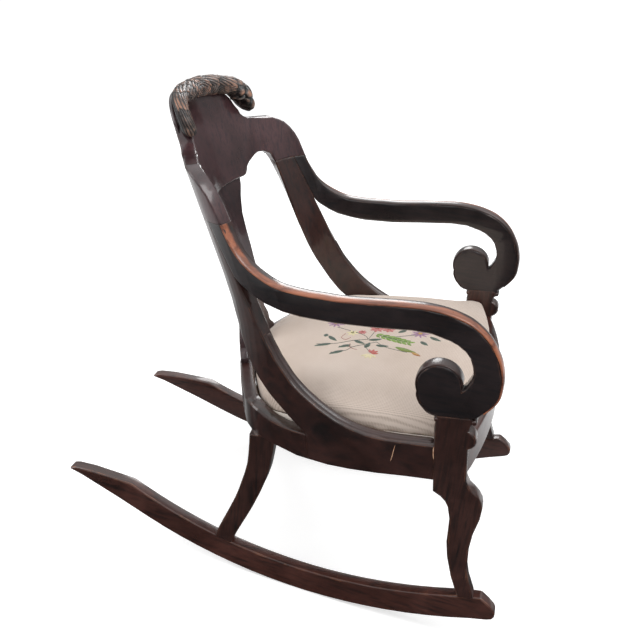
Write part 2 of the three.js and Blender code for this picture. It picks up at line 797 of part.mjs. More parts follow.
const zones = {
  rearRail: bothSides([
    point(0, belowRails),
    point(rearJoint - halfGap, belowRails),
    point(rearJoint - halfGap, rearJointTop),
    ...throughBack,
    point(0, rearRailTop + sawClear),
  ]),
  crest: bothSides([
    point(0, splatTop - sawClear),
    point(openBack, splatTop - sawClear),
    point(openBack, seamHeight + halfGap),
    point(rearJoint, seamHeight + halfGap),
    point(rearJoint, crestRise + archRise + sawClear),
    point(0, crestRise + archRise + sawClear),
  ]),
  sideFrame: [
    point(rearJoint + halfGap, belowRails),
    point(postRear - halfGap, belowRails),
    point(postRear - halfGap, railTop),
    ...[...throughArm].reverse(),
    ...shifted(stileJoint.slice(0, -1), -halfGap),
    point(seamSplit - halfGap, seamHeight - halfGap),
    point(openBack, seamHeight - halfGap),
    point(openBack, crotchHeight),
    ...[...throughBack].reverse(),
    point(rearJoint + halfGap, rearJointTop),
  ],
  arm: [
    ...throughArm,
    throughPost,
    point(throughPost.x, postTop + halfGap),
    point(aheadOfScroll, postTop + halfGap),
    point(aheadOfScroll, seamHeight - halfGap),
    point(seamSplit + halfGap, seamHeight - halfGap),
    ...shifted(stileJoint.slice(0, -1), halfGap).reverse(),
  ],
  frontLeg: [
    point(postRear + halfGap, railTop),
    throughPost.clone().setY(railTop + boardArris),
    throughPost.clone().setY(postTop - halfGap),
    point(aheadOfScroll, postTop - halfGap),
    point(aheadOfScroll, footHeight - sawClear),
    point(throughPost.x, footHeight - sawClear),
    point(throughPost.x, railBottom - boardArris),
    point(postRear + halfGap, railBottom),
  ],
};

const zoneThickness = boardThickness + overrun + overrun;
const sawn = (zone) => common(panel, bentBoard(zone, zoneThickness, -overrun));

// Developed length at which a rising stroke reaches a height
function lengthAt(stroke, height) {
  const next = Math.max(1, stroke.findIndex(({ y }) => y >= height));
  const from = stroke[next - 1];
  const to = stroke[next];
  return THREE.MathUtils.lerp(from.x, to.x, (height - from.y) / (to.y - from.y));
}

// The waste on the sloping rear edge of a stile, deepest half way up
function bevelWaste() {
  const edge = [...crestUnder, ...stileRear.slice(1)].reverse();
  return loft(Array.from({ length: bevelSteps + 1 }, (_, i) => {
    const height = THREE.MathUtils.lerp(bevelBottom, crestBevelTop, i / bevelSteps);
    const length = lengthAt(edge, height);
    const slope = stileBevel * Math.sin(Math.PI * (height - bevelBottom) / (bevelTop - bevelBottom));
    return [
      onPanel(length - bevelReach, boardThickness - boardArris, height),
      onPanel(length, boardThickness - boardArris, height),
      onPanel(length + slope, -overrun, height),
      onPanel(length - bevelReach, -overrun, height),
    ];
  }));
}
const bevel = bevelWaste();

// Fastenings: each is a rod, with a clear hole for it in the pieces that it joins

const upright = (length, height) => [
  onPanel(length, boardThickness / 2, height - dowelHalf),
  onPanel(length, boardThickness / 2, height + dowelHalf),
];
const alongPanel = (length, height) => [
  onPanel(length - dowelHalf, boardThickness / 2, height),
  onPanel(length + dowelHalf, boardThickness / 2, height),
];
const railMiddle = (railBottom + railTop) / 2;
const frontRailMiddle = frontRailThickness / 2 - frontRailSetback;
const rearLegHalf = halfWidth - rearLegInset;
const rearLegMiddle = rearLegHalf - rearLegThickness / 2;

const dowels = {
  crest_rear: upright((seamRear + seamSplit) / 2 - boardThickness / 2, seamHeight),
  crest_front: upright((seamFront + seamSplit) / 2, seamHeight),
  post: alongPanel(postRear, railMiddle),
  scroll: upright((postRear + postFront) / 2, postTop),
  rail: alongPanel(rearJoint, (rearJointTop + rearJointBottom) / 2),
  front_rail: [-1, 1].map((end) => (
    new THREE.Vector3(bowChord + end * dowelHalf, frontRailMiddle, railMiddle)
  )),
  rear_leg: [-1, 1].map((end) => (
    new THREE.Vector3(rearLegMiddle, rearLegTopReach, rearRailBottom + end * dowelHalf)
  )),
};

function longer([from, to], extra) {
  const along = to.clone().sub(from).setLength(extra);
  return [from.clone().sub(along), to.clone().add(along)];
}

const holeFor = (ends) => rod(...longer(ends, jointGap), dowelRadius + jointGap);
const holes = Object.fromEntries(Object.entries(dowels).map(([name, ends]) => [name, holeFor(ends)]));

// A rocker screw stands square to the rocker's arc
function screwAxis(reach, side) {
  const angle = Math.asin((reach - rockerCentre) / (rockerRadius - rockerHeight));
  const at = (rise) => new THREE.Vector3(
    side,
    rockerCentre + Math.sin(angle) * (rockerRadius - rise),
    rockerRadius - Math.cos(angle) * (rockerRadius - rise),
  );
  return {
    low: at(-rockerHeight),
    seat: at(screwRecess),
    head: at(screwRecess + screwHeadHeight),
    tip: at(screwRecess + screwLength),
  };
}

const screw = ({ seat, head, tip }) => united(
  rod(seat, head, screwHeadRadius),
  rod(seat, tip, screwRadius),
);
const screwHole = ({ low, head, tip }) => united(
  rod(low, longer([low, head], jointGap)[1], screwHeadRadius + jointGap),
  rod(low, longer([low, tip], jointGap)[1], screwRadius + jointGap),
);
const frontScrew = screwAxis(frontScrewReach, halfWidth - boardThickness / 2 - overrun);
const rearScrew = screwAxis(rearScrewReach, rearLegMiddle);

// Rockers, legs and the sawn pieces of the panel

const rocker = cut(rockerBoard, screwHole(frontScrew), screwHole(rearScrew));
addPair('rocker', rocker, mahogany);
addPair('rocker_screw_front', screw(frontScrew), steel);
addPair('rocker_screw_rear', screw(rearScrew), steel);

const frontLeg = cut(
  sawn(zones.frontLeg), rockerSeat, screwHole(frontScrew), holes.post, holes.scroll, holes.front_rail,
);
addPair('front_leg', frontLeg, mahogany);
addPair('side_frame', cut(
  sawn(zones.sideFrame), bevel, holes.crest_rear, holes.post, holes.rail,
), mahogany);
addPair('arm', cut(sawn(zones.arm), holes.crest_front, holes.scroll), mahogany);
const rearRailBoard = sawn(zones.rearRail);
add('rear_rail', cut(
  rearRailBoard, holes.rail, mirrored(holes.rail), holes.rear_leg, mirrored(holes.rear_leg),
), mahogany);
add('crest_board', cut(
  sawn(zones.crest), bevel, mirrored(bevel),
  holes.crest_rear, mirrored(holes.crest_rear), holes.crest_front, mirrored(holes.crest_front),
), mahogany);
for (const [name, ends] of Object.entries(dowels)) {
  addPair(`dowel_${name}`, rod(...ends, dowelRadius), innerWood);
}

function rearLeg() {
  const line = new THREE.SplineCurve(between(
    point(rearLegTopReach, rearLegTop),
    point(rearLegFootReach, rockerArc(rearLegFootReach, rockerHeight / 2)),
    [[0, 0], [0.02, 0.09], [0.13, 0.3], [0.26, 0.43], [0.4, 0.555], [0.56, 0.67], [0.7, 0.765],
      [0.85, 0.87], [1, 1]],
  ));
  const edge = (side) => Array.from({ length: rearLegSteps + 1 }, (_, i) => {
    const share = i / rearLegSteps;
    const along = line.getTangentAt(share);
    const width = THREE.MathUtils.lerp(rearLegAnkleWidth, rearLegTopWidth, (1 - share) ** 2);
    return line.getPointAt(share).add(point(along.y, -along.x).multiplyScalar(side * width / 2));
  });
  const outline = [...edge(1), ...edge(-1).reverse()];
  return fromTriangles(flatBoard(outline, rearLegThickness, boardArris).map((triangle) => (
    triangle.map(({ x, y, z }) => new THREE.Vector3(rearLegHalf - rearLegThickness + z, x, y))
  )));
}

// Each rear leg fits under the rail, and stops a little short on both sides of it
const besideRail = joined(
  [point(openBack, rearRailTop), point(openBack, rearRailBottom - splatArris)],
  shifted(rearRailUnder, 0, -splatArris),
  [point(rearJoint, rearRailTop)],
);
const railOuterWaste = bentBoard(besideRail, sawClear / 2 + jointGap, -sawClear / 2);
const railInnerWaste = bentBoard(besideRail, sawClear / 2, boardThickness - jointGap);
const railSeat = rearRailBoard.clone().translate(0, 0, -jointGap);
const legCutters = [railOuterWaste, railInnerWaste, rockerSeat, screwHole(rearScrew), holes.rear_leg];
add('rear_leg_left', cut(rearLeg(), railSeat, ...legCutters), mahogany);
add('rear_leg_right', cut(mirrored(rearLeg()), railSeat, ...legCutters.map(mirrored)), mahogany);

// Front rail, with a bead along its top

function acrossBow(section, half, steps = bowSteps) {
  return loft(Array.from({ length: steps + 1 }, (_, i) => {
    const x = THREE.MathUtils.lerp(-half, half, i / steps);
    return section.map(({ x: depth, y }) => new THREE.Vector3(x, frontFace(x) + depth, y));
  }));
}

const beadCentre = point(frontBeadRadius - frontBeadLift, railTop - frontBeadRadius);
const frontSection = joined(
  [point(0, frontRailBottom), point(frontRailThickness, frontRailBottom)],
  [point(frontRailThickness, railTop)],
  arc(beadCentre, frontBeadRadius, 90, 235, 6),
  [point(0, beadCentre.y - frontBeadRadius)],
);
add('front_rail', cut(
  acrossBow(frontSection, bowChord - jointGap), holes.front_rail, mirrored(holes.front_rail),
), mahogany);

// Splat

const splatUpper = smooth(between(
  point(splatHalf, splatTop - jointGap),
  point(splatWaist, splatWaistHeight),
  [[0, 0], [0.1, 0.1], [0.33, 0.2], [0.535, 0.31], [0.69, 0.415], [0.8, 0.49], [0.9, 0.62],
    [0.975, 0.78], [1, 1]],
));
const splatLower = smooth(between(
  point(splatWaist, splatWaistHeight),
  point(splatBaseHalf, rearRailTop + jointGap),
  [[0, 0], [0.02, 0.1], [0.08, 0.25], [0.18, 0.405], [0.275, 0.53], [0.36, 0.635], [0.41, 0.69],
    [0.51, 0.725], [0.62, 0.765], [0.69, 0.815], [0.71, 0.855], [0.77, 0.89], [0.88, 0.92],
    [1, 0.95], [1, 1]],
));
const splatOutline = bothSides([
  point(0, splatTop - jointGap), ...splatUpper, ...splatLower.slice(1), point(0, rearRailTop + jointGap),
]);
add('splat', bentBoard(splatOutline, splatThickness, splatInset, splatArris), mahogany);

// Carved roll along the top of the crest, swelling into a volute at each end

function roll() {
  const line = new THREE.SplineCurve(arch(0, 0, 180, archSteps));
  const swell = volutePath / line.getLength();
  const ring = (share, scale) => {
    const middle = line.getPointAt(share);
    const along = line.getTangentAt(share);
    const fromEnd = Math.min(share, 1 - share);
    const swelling = 1 - THREE.MathUtils.smoothstep(fromEnd, swell / 2, swell);
    const outward = Math.sign(middle.x) * voluteOut * swelling;
    const halfHeight = THREE.MathUtils.lerp(rollHalfHeight, voluteHalfHeight, swelling) * scale;
    const halfDepth = THREE.MathUtils.lerp(rollHalfDepth, voluteHalfDepth, swelling) * scale;
    return Array.from({ length: rollSides }, (_, k) => {
      const angle = 2 * Math.PI * k / rollSides;
      const out = Math.sin(angle) * halfHeight;
      return onPanel(
        middle.x + outward + along.y * out,
        rollInset + voluteForward * swelling + Math.cos(angle) * halfDepth,
        middle.y - along.x * out,
      );
    });
  };
  const volute = voluteShares.map(([path, scale]) => [path * swell, scale]);
  const body = Array.from({ length: rollSteps + 1 }, (_, i) => [
    THREE.MathUtils.lerp(swell, 1 - swell, i / rollSteps), 1,
  ]);
  const otherVolute = volute.map(([share, scale]) => [1 - share, scale]).reverse();
  const stations = [...volute, ...body, ...otherVolute];
  return loft(stations.map(([share, scale]) => ring(share, scale)));
}

const tabletZone = bothSides(joined(
  [point(0, seamHeight), point(seamRear, seamHeight), point(seamRear, shoulderHeight + jointGap)],
  shifted(tabletSide, jointGap),
  arch(rollSeat - jointGap, 8, 90, 8),
));
const tabletSeat = bentBoard(tabletZone, boardThickness + overrun + jointGap, -overrun);
add('crest_roll', cut(roll(), tabletSeat), carvedMahogany);

// Drop-in seat

// Plan of the seat, at a margin inside the space between the rails
function seatPlan(margin = 0) {
  const inset = boardThickness + seatClearance + margin;
  const depth = frontRailThickness + seatClearance + margin;
  const half = halfWidth - inset;
  const side = datumLength - frontFace(half) - depth;
  const count = Math.round(side / seatStep);
  const round = Array.from({ length: count + count + 1 }, (_, i) => planAt(side * (i / count - 1), inset));
  const across = Math.round(half / seatStep);
  const front = Array.from({ length: across + across - 1 }, (_, i) => {
    const x = half * (1 - (i + 1) / across);
    return point(x, frontFace(x) + depth);
  });
  return [...round, ...front];
}

const seatFrameTop = seatFrameBottom + seatFrameHeight;
const frameInset = boardThickness + seatClearance;
const frameReach = frontRailThickness + seatClearance;
const frameBox = (low, high) => [
  point(low, seatFrameBottom),
  point(high, seatFrameBottom),
  point(high, seatFrameTop),
  point(low, seatFrameTop),
];
const frontMember = (grow = 0) => acrossBow([
  point(frameReach, seatFrameBottom - grow),
  point(frameReach + seatFrameWidth + grow, seatFrameBottom - grow),
  point(frameReach + seatFrameWidth + grow, seatFrameTop + grow),
  point(frameReach, seatFrameTop + grow),
], halfWidth - frameInset + grow, bowSteps / 2);
const sideMember = cut(
  bentBoard(frameBox(seatFrameCorner + halfGap, datumLength - frameReach), seatFrameWidth, frameInset),
  frontMember(jointGap),
);
const backHalf = seatFrameCorner - halfGap;
add('seat_frame_front', frontMember(), innerWood);
add('seat_frame_back', bentBoard(frameBox(-backHalf, backHalf), seatFrameWidth, frameInset), innerWood);
addPair('seat_frame_side', sideMember, innerWood);

function webbing() {
  const bottom = seatFrameTop + jointGap;
  const band = (x, y, wide, deep) => {
    const near = [point(x - wide, y - deep), point(x + wide, y - deep)];
    const far = [point(x + wide, y + deep), point(x - wide, y + deep)];
    return slab([...near, ...far], bottom, webbingThickness);
  };
  const places = [-webbingSpacing, 0, webbingSpacing];
  const bands = places.flatMap((offset) => [
    band(offset, seatMiddle, webbingWidth / 2, planDepth),
    band(0, seatMiddle + offset, halfWidth, webbingWidth / 2),
  ]);
  return common(united(...bands), slab(seatPlan(webbingMargin), bottom - overrun, sawClear));
}
add('seat_webbing', webbing(), jute);

function pad() {
  const bottom = seatFrameTop + webbingThickness + jointGap + jointGap;
  const outline = seatPlan();
  const ring = (share, height) => outline.map(({ x, y }) => new THREE.Vector3(
    x * share,
    THREE.MathUtils.lerp(seatMiddle, y, share),
    height,
  ));
  return loft([
    ring(1, bottom),
    ring(1, bottom + seatRim),
    ...padShares.map(([share, rise]) => ring(share, bottom + seatRim + seatCrown * rise)),
  ]);
}
add('seat_pad', pad(), needlework);

const dustCoverBottom = seatFrameBottom - jointGap - dustCoverThickness;
add('seat_dust_cover', slab(seatPlan(dustCoverMargin), dustCoverBottom, dustCoverThickness), blackCloth);

// Corner blocks that carry the seat

const blockTop = dustCoverBottom - jointGap;
const blockCorner = bowChord - jointGap;
const railInner = (x) => point(x, frontFace(x) + frontRailThickness + jointGap);
addPair('corner_block_front', slab([
  railInner(blockCorner),
  planAt(datumLength - railInner(blockCorner).y - frontBlockReach, boardThickness + jointGap),
  railInner(blockCorner - frontBlockReach),
], blockTop - blockHeight, blockHeight), innerWood);
addPair('corner_block_rear', bentBoard([
  point(rearJoint - rearBlockHalf, blockTop - blockHeight),
  point(rearJoint + rearBlockHalf, blockTop - blockHeight),
  point(rearJoint + rearBlockHalf, blockTop),
  point(rearJoint - rearBlockHalf, blockTop),
], blockThickness, boardThickness + jointGap), innerWood);

// At rest the chair leans back until one flat of each rocker lies level on the floor
const rest = new THREE.Matrix4().makeRotationX(-THREE.MathUtils.degToRad(restTiltDegrees));
for (const mesh of chair.children) mesh.geometry.applyMatrix4(rest);
const box = new THREE.Box3().setFromObject(chair);
const middle = box.getCenter(new THREE.Vector3());
for (const mesh of chair.children) mesh.geometry.translate(-middle.x, -middle.y, -box.min.z);

export default chair;
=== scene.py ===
import math

import bpy
import numpy as np
from mathutils import Matrix, Vector
from mathutils.bvhtree import BVHTree


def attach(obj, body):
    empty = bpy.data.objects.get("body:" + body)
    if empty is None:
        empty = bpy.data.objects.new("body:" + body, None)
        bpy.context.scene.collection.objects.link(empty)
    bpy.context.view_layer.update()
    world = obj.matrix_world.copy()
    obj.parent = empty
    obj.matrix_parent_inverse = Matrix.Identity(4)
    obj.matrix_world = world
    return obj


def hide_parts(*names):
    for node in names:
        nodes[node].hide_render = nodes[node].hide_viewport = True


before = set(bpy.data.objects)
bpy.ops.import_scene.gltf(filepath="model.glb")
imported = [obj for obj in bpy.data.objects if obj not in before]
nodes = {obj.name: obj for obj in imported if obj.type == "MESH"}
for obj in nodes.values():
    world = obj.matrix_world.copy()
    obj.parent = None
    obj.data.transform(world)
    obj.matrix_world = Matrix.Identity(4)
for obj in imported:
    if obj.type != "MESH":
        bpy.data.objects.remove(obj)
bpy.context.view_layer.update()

# Metres in a millimetre, and the signs of the two sides
MM = 0.001
LEFT = 1
RIGHT = -1

# Plan and lean of the chair, as in the solids
HALF_WIDTH = 270
PLAN_DEPTH = 550
FRONT_SETBACK = 90
PLAN_SHARES = (
    (1, 0), (1, 0.1), (1, 0.2), (1, 0.26), (0.994, 0.4), (0.974, 0.56), (0.941, 0.69),
    (0.881, 0.793), (0.774, 0.858), (0.611, 0.902), (0.437, 0.94), (0.222, 0.977), (0, 0.991),
)
LEAN_SLOPE = 0.27
LEAN_START = 530
LEAN_BLEND = 120
REST_TILT = math.radians(7.2)
REST_SHIFT = (-365.22, 30.26)
BOARD = 26
PLAN_REACH = 1

# Front rail
FRONT_RAIL_SETBACK = 17
FRONT_RAIL_BOW = 34
FRONT_RAIL_THICKNESS = 24

# Crest
CREST_RISE = 862
ARCH_RISE = 64
ARCH_HALF = 130
ARCH_FULLNESS = 2.4
ROLL_INSET = 30
ROLL_HALF_DEPTH = 21
ROLL_HALF_HEIGHT = 14.5
ROLL_SHARES = (
    (-1, 0.0), (-1.005, 0.22), (-1, 0.45), (-0.93, 0.74), (-0.72, 0.91), (-0.2, 0.94), (0.25, 0.925),
    (0.55, 0.88), (0.78, 0.81), (0.93, 0.71), (1.01, 0.58), (1.05, 0.42), (1.03, 0.26), (0.96, 0.15),
)
TIP_SHARES = (0, 0.002, 0.005, 0.01, 0.017, 0.026)
CLOSING_SHARES = (0.12, 0.38, 0.6, 0.78, 0.9, 0.97)
BODY_START_SHARE = 0.035
ROLL_RINGS = 560
ROLL_SIDES = 96
ROLL_REACH = 0.5
FAR_FADE = (-20, 60)
NEAR_FADE = (20, 115)
RIGHT_INSET_SHARE = 0.78
RIGHT_DEPTH_SHARE = 0.6
RIGHT_HEIGHT_SHARE = 0.75
ROLL_SWELL_SHARE = 0.15
VOLUTE_PATH = 60
VOLUTE_HALF_DEPTH = 23
VOLUTE_HALF_HEIGHT = 23
VOLUTE_FORWARD = 7
WORN_VOLUTE_SHARE = 0.1
RIM_RADIUS = 4.5
RIM_INSET = 6
RIM_SUNK = 6
RIM_ENDS = 4

# Carving: pitches of its leaves and bosses, lengths over which its waves turn by a radian, and its depth
LEAF_PITCH = 42
LEAF_WAVE = 17
CURL_WAVE = 11
RIB_WAVE = 13
VEIN_WAVE = 5
LOBE_WAVE = 6.5
BOSS_PITCH = 15
BOSS_START = 4
CARVING_DEPTH = 4.6

# Seat
SEAT_CLEARANCE = 2
SEAT_MIDDLE = 190
BACK_POINTS = 260
FRONT_POINTS = 90
PAD_BOTTOM = 393.6
FRAME_BOTTOM = 372
PAD_MARGIN = 1.5
PAD_RIM = 30
PAD_CROWN = 31
CROWN_SHARES = (
    (0.99, 0.26), (0.965, 0.45), (0.92, 0.62), (0.83, 0.79),
    (0.7, 0.9), (0.5, 0.965), (0.28, 0.99), (0.1, 1),
)
PAD_SWELL = 7
PAD_SPREAD = 3
PAD_OVERHANG = 13
PAD_HELD = 12
PAD_VOXEL = 5
PAD_PRESSURE = 4
TINY = 1e-9
FILL_FRAMES = 20
COVER_STAND = 1.3
COVER_THICKNESS = 1
COVER_LAP = 4

# Embroidery: where the spray lies, the height its places are dropped from onto the cushion, and how
# far its stitches stand up or dip at their edges
SPRAY_PLACE = (-13, -6)
OVERHEAD = 1000
PETAL_LIFT = 0.9
LEAFLET_LIFT = 1.1
POPPY_LIFT = 1.2
HEART_LIFT = 1.6
PETAL_DIP = 0.5
STEM_LIFT = 0.7
STEM_DIP = 0.4

# Textures: pitch of the weaves, width of rubbed edges and depth of each surface
WEAVE_PITCH = 2.1
THREAD_PITCH = 1.4
RUBBED_EDGE = 2.6
POLISH_DEPTH = 0.25
GRAIN_DEPTH = 0.3
WEAVE_DEPTH = 0.5
THREAD_DEPTH = 0.4
JUTE_DEPTH = 0.6
LINING_DEPTH = 0.2

# Shading of the solids
WELD_DISTANCE = 0.02
SHARP_ANGLE = math.radians(52)

# Mouldings
RAIL_TOP = 397
BEAD_RADIUS = 9.5
BEAD_INSET = 16.2
CAP_CROWN = 2.6
EYE_CROWN = 1.2
EYE_ARC = (4, 200)
CAP_LIFT = 0.15
CAP_MARGIN = 0.2
CAP_POINTS = 13
EYE_ACROSS_SHARE = 0.8
CAP_SEAT = 1.6
POST_TOP = 456
SCROLL_LENGTH = 591
SCROLL_HEIGHT = 512
SCROLL_RADIUS = 37.5
NECK_LENGTH = 650
HEEL_SETBACK = 4
NECK_BEAD = 5
BACK_NECK_BEAD = 4.4
NECK_BEAD_DROP = 7
NECK_BEAD_MARGIN = 0.4
FRONT_BEAD_INSET = 1.5
BACK_BEAD_INSET = 3
STILE_SHARES = (
    (0, 0), (0.165, 0), (0.27, 0.005), (0.38, 0.025), (0.49, 0.07), (0.565, 0.12),
    (0.65, 0.195), (0.73, 0.285), (0.8, 0.39), (0.86, 0.5), (0.907, 0.62),
)
OVER_SHARES = (
    (0, 0), (0.02, 0.23), (0.05, 0.38), (0.085, 0.515), (0.13, 0.63), (0.195, 0.745),
    (0.28, 0.84), (0.42, 0.93), (0.59, 0.985), (0.77, 1), (1, 1),
)
RISE_SHARES = (
    (0, 0), (0.25, -0.01), (0.4, 0.01), (0.54, 0.03), (0.68, 0.075), (0.75, 0.125),
    (0.82, 0.215), (0.89, 0.335), (0.945, 0.485), (0.975, 0.66), (0.995, 0.87), (1, 1),
)
FRONT_SHARES = ((0, 0), (0.33, 0.145), (0.67, 0.33), (0.885, 0.515), (0.97, 0.73), (1, 1))
HEEL_SHARES = (
    (0, 0), (-0.03, 0.16), (0.01, 0.3), (0.115, 0.5), (0.28, 0.665), (0.45, 0.82), (0.66, 0.93), (1, 1),
)
ARM_FRONT = (689, 532)
ARM_TOP = (513, 645)
SHOULDER = (275, 750)
STILE_ENDS = ((585, RAIL_TOP), (263, 658))
FRONT_ENDS = ((NECK_LENGTH, POST_TOP), ARM_FRONT)
OVER_ENDS = (ARM_FRONT, ARM_TOP)
RISE_ENDS = (ARM_TOP, SHOULDER)

# Old damage
CRACK = ((521, 390), (518, 378), (516, 368), (513, 357))
CRACK_WIDTH = 0.7
CHIP = ((585, 396), (584.6, 384), (585.4, 372))
CHIP_WIDTH = 0.8

# Camera, its place in millimetres, and the room, in metres
CAMERA_RIGHT = (0.2603, -0.96227, 0.07913)
CAMERA_AHEAD = (0.8663, 0.1966, -0.45916)
CAMERA_PLACE = (-1365.9, -320.8, 1190.5)
SENSOR = 36
LENS = 45
NEAREST = 0.05
FARTHEST = 200
LAMPS = (
    ("key", (-0.6, -1.6, 3.2), 2.2, 44),
    ("window", (2.7, 0.6, 1.8), 1.2, 19),
    ("back", (-0.8, 2.4, 1.9), 1.8, 26),
)
LAMP_AIM = (0, 0, 0.4)
FLOOR_HALF = 30
BRIGHT_BEYOND = (-0.1, 0.6)
BRIGHT_BEHIND = (0.6, 1.6)


def through(points, spans=40):
    """A smooth line through points, fine enough to measure along."""
    given = np.asarray(points, float)
    ends = np.vstack([given[:1], given, given[-1:]])
    t = np.linspace(0, 1, spans, endpoint=False)[:, None]
    pieces = []
    for k in range(len(given) - 1):
        before, start, end, after = ends[k:k + 4]
        leave = (end - before) / 2
        arrive = (after - start) / 2
        pieces.append(
            (2 * start - 2 * end + leave + arrive) * t ** 3
            + (3 * end - 3 * start - 2 * leave - arrive) * t ** 2
            + leave * t
            + start
        )
    return np.vstack([*pieces, given[-1:]])


def run(line):
    """Distance along a line to each of its points."""
    steps = np.linalg.norm(np.diff(line, axis=0), axis=1)
    return np.concatenate([[0], np.cumsum(steps)])


def sample(line, where):
    """Points of a line at distances along it."""
    distances = run(line)
    return np.stack([np.interp(where, distances, line[:, k]) for k in range(line.shape[1])], axis=-1)


def shares_along(line):
    """How far along a line each of its points is, from 0 to 1."""
    return run(line) / run(line)[-1]


def headings(line):
    """Unit directions of a line at its points."""
    ahead = np.gradient(line, axis=0)
    return ahead / np.linalg.norm(ahead, axis=1, keepdims=True)


def headings_at(line, where, reach):
    """Unit directions of a line at distances along it, measured over a short reach each way."""
    along = sample(line, where + reach) - sample(line, where - reach)
    return along / np.linalg.norm(along, axis=-1, keepdims=True)


def beside_line(line):
    """Unit directions at right angles to a line, on its upper and forward side."""
    ahead = headings(line)
    return np.stack([ahead[:, 1], -ahead[:, 0]], axis=-1)


def round_angles(sides):
    """Angles of the points round a section."""
    return np.linspace(0, 2 * math.pi, sides, endpoint=False)[None, :]


def plan_line():
    """The boards' outer face seen from above, from the right front round the back."""
    side = [(x * HALF_WIDTH, y * PLAN_DEPTH - FRONT_SETBACK) for x, y in PLAN_SHARES]
    right = [(-x, y) for x, y in side]
    return through(right + side[-2::-1])


PLAN = plan_line()
PLAN_LENGTH = run(PLAN)[-1]
DATUM_LENGTH = PLAN_LENGTH / 2 - FRONT_SETBACK


def alike(*values):
    """Numbers and arrays as arrays of one shape."""
    return np.broadcast_arrays(*(np.asarray(value, float) for value in values))


def in_frame(x, y, height):
    """Drawing millimetres to the chair's place at rest, in metres."""
    x, y, height = alike(x, y, height)
    back = y * math.cos(REST_TILT) + height * math.sin(REST_TILT) + REST_SHIFT[0]
    up = height * math.cos(REST_TILT) - y * math.sin(REST_TILT) + REST_SHIFT[1]
    return np.stack([x, back, up], axis=-1) * MM


def plan_at(length, inset):
    """A place on the plan: a length round it from the middle of the back, and an inset."""
    where = PLAN_LENGTH / 2 + np.asarray(length, float)
    along = headings_at(PLAN, where, PLAN_REACH)
    inward = np.stack([along[..., 1], -along[..., 0]], axis=-1)
    return sample(PLAN, where) + inward * np.asarray(inset, float)[..., None]


def lean(height):
    """How far back the frame leans at a height."""
    above = np.maximum(np.asarray(height, float) - LEAN_START, 0)
    bending = LEAN_SLOPE * above ** 2 / (2 * LEAN_BLEND)
    return np.where(above < LEAN_BLEND, bending, LEAN_SLOPE * (above - LEAN_BLEND / 2))


def on_panel(length, inset, height):
    """A place on the side boards or the crest, in the chair's frame."""
    length, inset, height = alike(length, inset, height)
    place = plan_at(length, inset)
    return in_frame(place[..., 0], place[..., 1] + lean(height), height)


def front_face(x):
    """The bowed face of the front rail, seen from above."""
    half = HALF_WIDTH - BOARD
    radius = (half ** 2 + FRONT_RAIL_BOW ** 2) / (2 * FRONT_RAIL_BOW)
    bow = np.sqrt(radius ** 2 - np.asarray(x, float) ** 2) - radius + FRONT_RAIL_BOW
    return -FRONT_RAIL_SETBACK - bow


def smoothstep(value, low, high):
    """Rises smoothly from 0 at low to 1 at high."""
    t = np.clip((np.asarray(value, float) - low) / (high - low), 0, 1)
    return t * t * (3 - 2 * t)


# Meshes

def sided(name, side):
    return f"{name}_left" if side == LEFT else f"{name}_right"


def pair(name):
    return sided(name, LEFT), sided(name, RIGHT)


def linked(name, data):
    """A new object of a mesh, camera or lamp, in the scene."""
    made = bpy.data.objects.new(name, data)
    bpy.context.scene.collection.objects.link(made)
    return made


def new_object(name, points, faces):
    """A mesh in the scene, shaded smooth."""
    mesh = bpy.data.meshes.new(name)
    mesh.from_pydata([tuple(p) for p in points], [], faces)
    mesh.validate()
    mesh.shade_smooth()
    return linked(name, mesh)


def bands(count, sides, joined=False):
    """Faces between neighbouring rings of points; joined closes the last ring onto the first."""
    faces = []
    for i in range(count if joined else count - 1):
        j = (i + 1) % count
        for k in range(sides):
            n = (k + 1) % sides
            faces.append((i * sides + k, i * sides + n, j * sides + n, j * sides + k))
    return faces


def skin(rings):
    """Points and faces of a closed tube over rings of points, with a cap at each end."""
    count, sides = rings.shape[:2]
    points = [*rings.reshape(-1, 3), rings[0].mean(axis=0), rings[-1].mean(axis=0)]
    faces = bands(count, sides)
    first, last = count * sides, count * sides + 1
    for k in range(sides):
        n = (k + 1) % sides
        faces.append((n, k, first))
        faces.append(((count - 1) * sides + k, (count - 1) * sides + n, last))
    return points, faces


def outward(made):
    """Turns a closed mesh's faces outwards, and leaves it the active object."""
    for other in bpy.context.selected_objects:
        other.select_set(False)
    made.select_set(True)
    bpy.context.view_layer.objects.active = made
    bpy.ops.object.mode_set(mode="EDIT")
    bpy.ops.mesh.select_all(action="SELECT")
    bpy.ops.mesh.normals_make_consistent(inside=False)
    bpy.ops.object.mode_set(mode="OBJECT")
    return made


def mark(made, name, values):
    """Stores one number per point, for the material to read."""
    marks = made.data.attributes.new(name, "FLOAT", "POINT")
    marks.data.foreach_set("value", values)


def piece(name, rings, material):
    """A closed wooden piece of the chair, made from rings of points."""
    points, faces = skin(rings)
    made = outward(new_object(name, points, faces))
    made.data.materials.append(material)
    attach(made, "chair")
    return made


def swept(name, line, rise, inset, material, side=LEFT):
    """A piece swept along a line: how far each ring stands off it, and where it lies in the board."""
    normal = beside_line(line)
    lengths = line[:, :1] + normal[:, :1] * rise
    heights = line[:, 1:] + normal[:, 1:] * rise
    return piece(name, on_panel(side * lengths, np.broadcast_to(inset, rise.shape), heights), material)


# Materials

def srgb(red, green, blue):
    """A colour from screen values of 0 to 255."""
    values = [c / 255 for c in (red, green, blue)]
    return tuple(c / 12.92 if c < 0.04045 else ((c + 0.055) / 1.055) ** 2.4 for c in values) + (1,)


def grey(value):
    return (value, value, value, 1)


